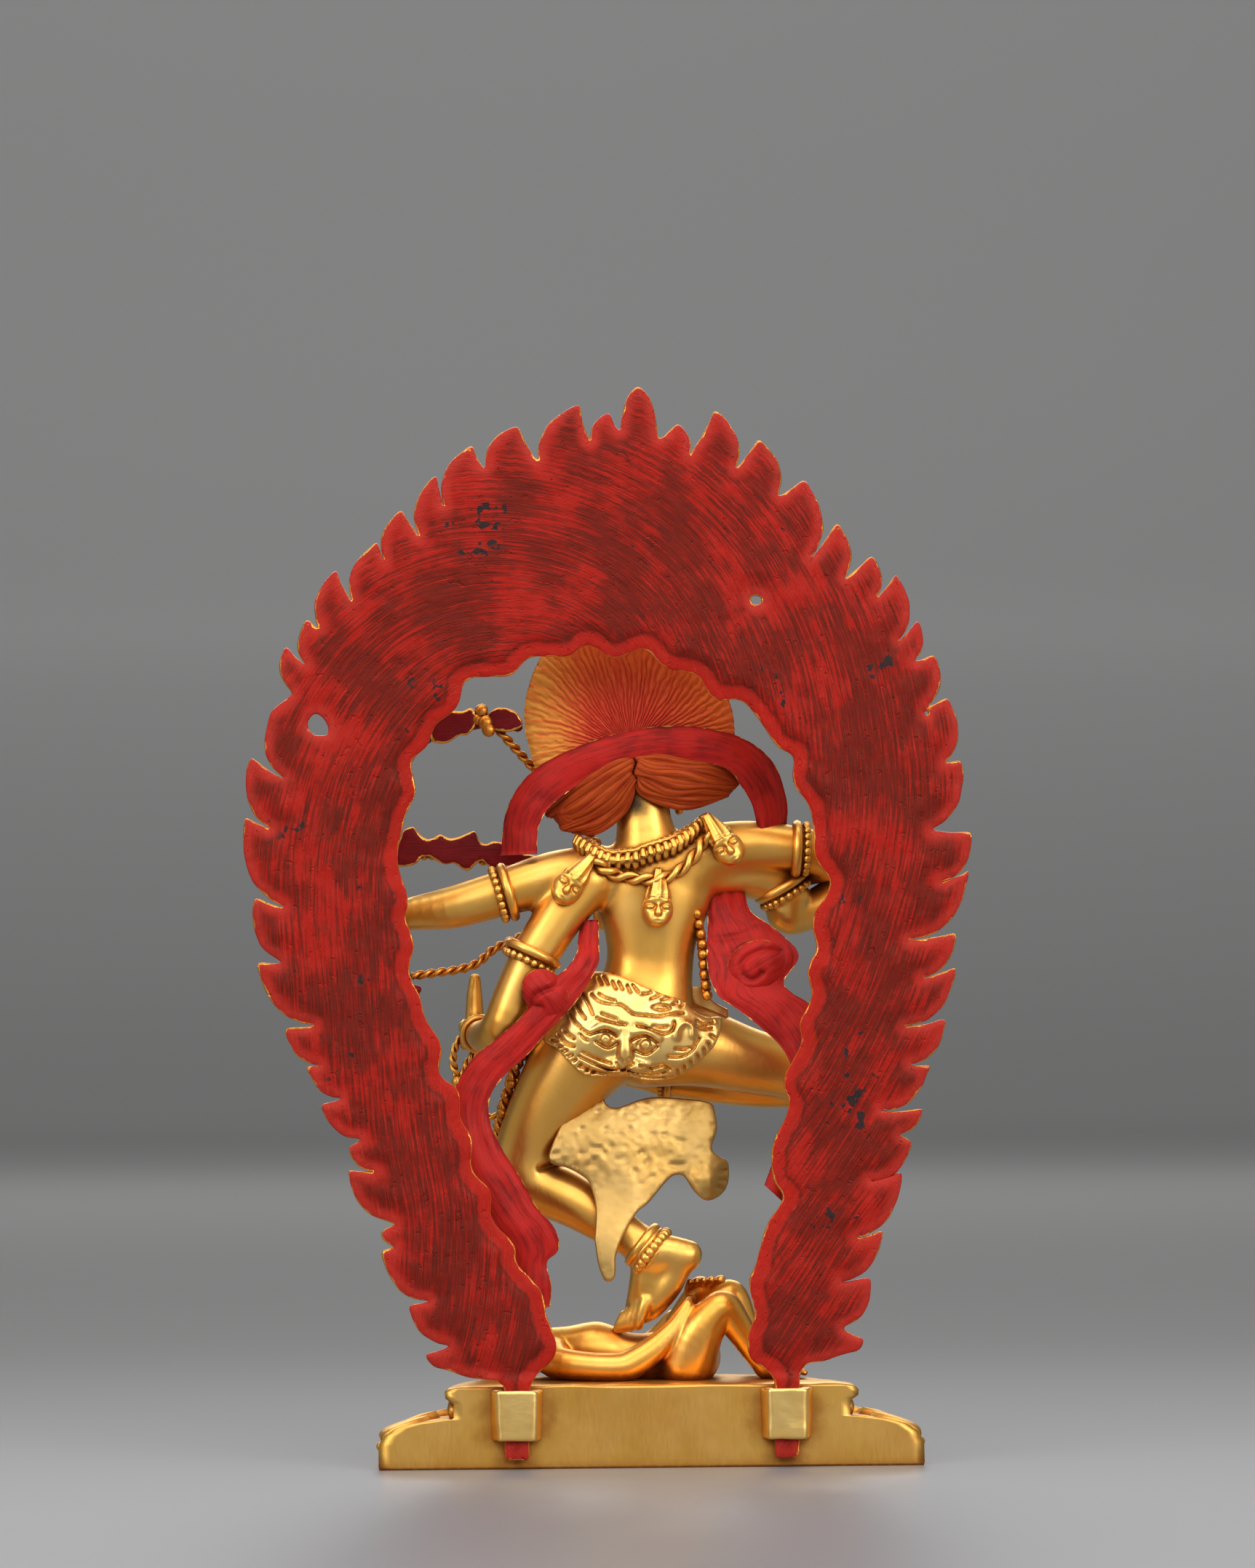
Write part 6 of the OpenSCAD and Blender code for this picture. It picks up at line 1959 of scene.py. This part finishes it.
def make_arrow():
    """The arrow: a leafy blade seen through the aureole, and its shaft set with flowers."""
    top = [(47, 113.5), (45.5, 117.6), (43.6, 118.4), (42.2, 116.6), (41.0, 115.8), (39.6, 116.2),
           (38.8, 117.0), (37, 116.0), (35.5, 116.2), (33.6, 117.0), (32.2, 117.6), (31.4, 115.4),
           (30.2, 114.8), (29, 115.6), (27, 115.2), (24, 113.4), (20, 112.6)]
    low = [(47, 110.8), (44.6, 111.0), (43.0, 111.4), (42.0, 112.8), (40.6, 112.9), (39.6, 112.0),
           (37.6, 111.2), (36.2, 111.6), (34.8, 110.6), (33.6, 109.9), (32.4, 111.0), (31, 112.2),
           (29.6, 110.6), (28.4, 110.3), (27, 111), (24, 110.4), (20, 110.2)]
    blade = leaf_strip(top, low, lambda x, z: -7.5, 1.4)
    painted("arrow", [blade], BOW_PAINT)
    shaft = even(rows((0.5, -12.4, 104.8), (9, -10.6, 107), (19, -8.6, 109.6)), 1.0)
    shaft = [tube(shaft, 0.75, 8)]
    for i in range(6):
        c = np.array(seen(44.5 - i * 3.6, 114.4 - i * 0.35, -8.6))
        shaft += beads([c], 1.0, (1, 0.7, 1), 6, 9)
        for k in range(6):
            a = k * math.pi / 3
            shaft += beads([c + (1.5 * math.cos(a), 0.1, 1.5 * math.sin(a))], 0.78, (1, 0.6, 1), 5, 8)
    piece("arrow_flowers", shaft, GILT, added=True)


def make_noose():
    """A loop and a tail of twisted rope in her lower left hand."""
    a = np.linspace(0, 2 * math.pi, 60)
    loop = np.column_stack([28.6 + 5.2 * np.sin(a), np.full_like(a, -9.5), 70.4 + 6.6 * np.cos(a)])
    out = rope(even(loop, 0.5), 0.85, 3.6, (0, 1, 0), sides=8)
    tail = spline([(28.6, -9.5, 77), (30, -9.2, 79), (32.6, -9.0, 79.4), (34.8, -9.2, 78),
                   (35.6, -9.6, 74.5), (34.8, -9.8, 71.6)], 8)
    out += rope(even(tail, 0.5), 0.85, 3.6, (0, 1, 0), sides=8)
    out += beads([(34.7, -9.8, 70.6), (28.6, -9.5, 77.2)], [1.25, 1.3], None, 6, 9)
    piece("noose", out, GILT)


HOOK_X, HOOK_Y = -42.6, -9          # axis of the shaft


def make_hook():
    """The elephant goad: a knobbed shaft, a spike and a hook."""
    shaft = Limb([(HOOK_X, HOOK_Y, 100, 0.9), (HOOK_X, HOOK_Y, 118, 0.9),
                  (HOOK_X, HOOK_Y, 131.5, 0.95)], 2)
    head = Limb([(HOOK_X, HOOK_Y, 131, 1.0), (-43.2, -9, 136, 1.5), (-46.4, -9, 139.6, 1.5),
                 (-50.0, -9, 137.8, 1.2), (-51.0, -9, 134.2, 0.55)], 5)
    spike = Limb([(-42.8, -9, 134, 1.3), (HOOK_X, HOOK_Y, 139, 1.1), (-42.4, -9, 142.6, 0.45)], 4)
    knobs = [(z, r) for z, r in ((100, 1.6), (102.2, 1.2), (126.5, 1.5), (129.4, 1.9), (131.6, 1.5))]

    def field(p):
        d = smin(shaft(p), smin(head(p), spike(p), 0.8), 0.8)
        for z, r in knobs:
            d = smin(d, egg(p, (HOOK_X, HOOK_Y, z), (r, r, 1.0)), 0.3)
        return d
    cast("hook", field, (-53.5, -11.6, 97.5), (-40, -6.4, 144), 0.24)


# ---------------------------------------------------------------- the trampled figure

def make_victim():
    """The figure under her foot, lying along the plinth, and its two rivets."""
    chest = [Limb([(22, 1.5, 20.4, 4.0), (15.5, 2.5, 20.4, 4.4), (9.5, 3, 20.2, 5.0)], 3),
             Limb([(9.5, 3, 20.2, 5.0), (2.5, 3.8, 18.8, 4.8), (-4, 4.6, 18.9, 5.2),
                   (-8.6, 5, 19.2, 5.3)], 4)]
    near_leg = Limb([(-7.4, 8.5, 18.6, 5.4), (-9.6, 10.2, 24, 4.3), (-12.8, 11, 28.0, 3.2),
                     (-14.4, 10.8, 28.4, 3.0), (-17, 10, 24.8, 2.6), (-20.4, 9.2, 19.6, 2.1),
                     (-22.4, 8.6, 17.4, 1.9)], 4, 0.5)
    near_foot = Limb([(-22.0, 8.6, 17.2, 2.0), (-26.5, 7.6, 16.6, 1.8)], 2)
    far_leg = Limb([(-7.5, -1.5, 19.5, 5.2), (-12, -1.5, 26, 4.0), (-15.5, -1.4, 29.8, 3.3),
                    (-17.0, -1.4, 29.2, 3.0), (-18.6, -1.6, 25.5, 2.6), (-21, -2, 19.5, 2.1)], 4)
    lift_foot = Limb([(-6, 0.5, 25.5, 2.1), (-8.5, 2.0, 29.0, 2.3), (-10.4, 3.0, 31.8, 2.3)], 3)
    near_arm = Limb([(17.6, 6.5, 19.4, 3.6), (16.5, 10, 18.6, 3.0), (11, 11.6, 17.9, 2.8),
                     (5.4, 12.2, 17.8, 2.8), (2.6, 12.1, 18.8, 2.8), (-1.4, 11.8, 21.6, 2.4),
                     (-4.8, 11.2, 25.0, 1.9), (-6.6, 10.8, 27.6, 1.6), (-7.4, 10.5, 29.2, 1.2)], 4)
    far_arm = Limb([(17, -3, 19.4, 3.4), (11, -8, 18.2, 2.8), (3, -10.5, 18, 2.6),
                    (-2, -9.8, 21, 2.2), (-6, -8.6, 25.4, 1.8)], 4)
    peak = Limb([(16, 3.5, 19.6, 2.8), (11.0, 4.6, 21.8, 2.3), (8.6, 4.2, 22.2, 1.8)], 3)
    hand = [Limb([(-6.6 - 0.2 * i, 10.4 - 1.0 * i, 27.6, 0.9),
                  (-7.8 - 0.3 * i, 9.8 - 1.1 * i, 30.2, 0.65)], 1) for i in range(4)]
    hand2 = [Limb([(-5.8, -8.4 + 0.9 * i, 25.0, 0.9), (-7.4, -8.2 + 1.0 * i, 27.8, 0.65)], 1)
             for i in range(4)]
    toe = toes((-12.6, 4.6, 32.2), (-0.35, 0.75, 0.55), (0.95, 0.1, 0.05), (-0.2, -0.4, 0.9), 0.82, 0.1)
    toe_near = toes((-27.2, 9.2, 16.4), (-1, 0, 0), (0, -0.9, 0), (0, 0, 1), 0.6, 0.05)
    head_c = np.array((27.0, -1.0, 21.0))
    face_turn = turn((0, 1, 0), 62) @ turn((0, 0, 1), 8)
    nose = Limb([(0, -4.4, 1.3, 0.4), (0, -5.2, -0.1, 0.6), (0, -5.3, -0.8, 0.75)], 3)
    brows = [Limb([(s * 0.7, -4.6, 1.6, 0.35), (s * 2.2, -4.2, 2.1, 0.38), (s * 3.5, -3.0, 1.6, 0.3)], 3)
             for s in (-1, 1)]
    mouth = Limb([(-1.4, -4.3, -2.5, 0.35), (0, -4.8, -2.6, 0.45), (1.4, -4.3, -2.5, 0.35)], 3)
    hair = Limb([(0, 1.5, 3.4, 3.8), (0, 2.6, 6.4, 2.4), (0, 3.0, 8.6, 1.2)], 3)

    def face(p):
        q = (p - head_c) @ face_turn
        d = egg(q, (0, 0, 0), (4.3, 4.8, 5.2))
        d = smin(d, egg(q, (0, -1.6, -3.0), (2.8, 2.8, 2.6)), 1.5)
        for s in (-1, 1):
            d = smax(d, -egg(q, (s * 1.9, -5.2, 0.7), (1.3, 1.1, 0.8)), 0.5)
            d = smin(d, egg(q, (s * 1.9, -3.6, 0.6), (1.05, 0.85, 0.6)), 0.2)
            d = smin(d, egg(q, (s * 4.2, 0.6, -0.4), (0.6, 1.2, 1.8)), 0.4)
        d = smin(d, join(q, brows + [nose, mouth], 0.3), 0.4)
        a = np.arctan2(q[:, 0], q[:, 1])
        return smin(d, hair(q) + 0.22 * np.abs(np.sin(9 * a)), 0.4)

    def field(p):
        d = join(p, chest, 2.5)
        d = smin(d, peak(p), 2.2)
        d = smin(d, egg(p, (11.5, -1.5, 22.4), (3.4, 2.8, 2.4)), 1.8)
        d = smin(d, smin(near_leg(p), near_foot(p), 0.8), 1.6)
        d = smin(d, far_leg(p), 1.6)
        d = smin(d, lift_foot(p), 0.8)
        d = smin(d, smin(near_arm(p), join(p, hand, 0.2), 0.5), 0.7)
        d = smin(d, smin(far_arm(p), join(p, hand2, 0.2), 0.5), 0.7)
        d = smin(d, join(p, toe, 0.15), 0.5)
        d = smin(d, join(p, toe_near, 0.15), 0.4)
        d = smin(d, face(p), 0.8)
        return smax(d, TOP_Z + 0.2 - p[:, 2], 0.2) + 0.05 * lumps(p, 4, 6)
    v, f = clay(field, (-32, -15, 14.5), (38, 17, 38), 0.3)
    piece("trampled_figure", (v, f), GILT_WARM)
    caps = [loft([ring_points((x, 4, z), (0, 0, 1), 2.0, 24) for z in (12.4, 15.6)])
            for x in (-6, 6)]
    piece("figure_rivets", caps, GILT_DEEP)


# ---------------------------------------------------------------- build

MAKERS = [make_aureole, make_plinth, make_petals, make_sockets, make_torso, make_arms, make_legs,
          make_head, make_tiger, make_scarf_arc, make_scarf_left, make_scarf_right,
          make_flame_hair, make_nape_hair, make_apron, make_jewellery, make_collar, make_rope,
          make_heads, make_head_garland, make_crown, make_earrings, make_bone_apron, make_bow,
          make_bowstring, make_arrow, make_noose, make_hook, make_victim]
for make in MAKERS:
    make()
make_stage()
make_lights()
make_camera()
bpy.context.view_layer.update()
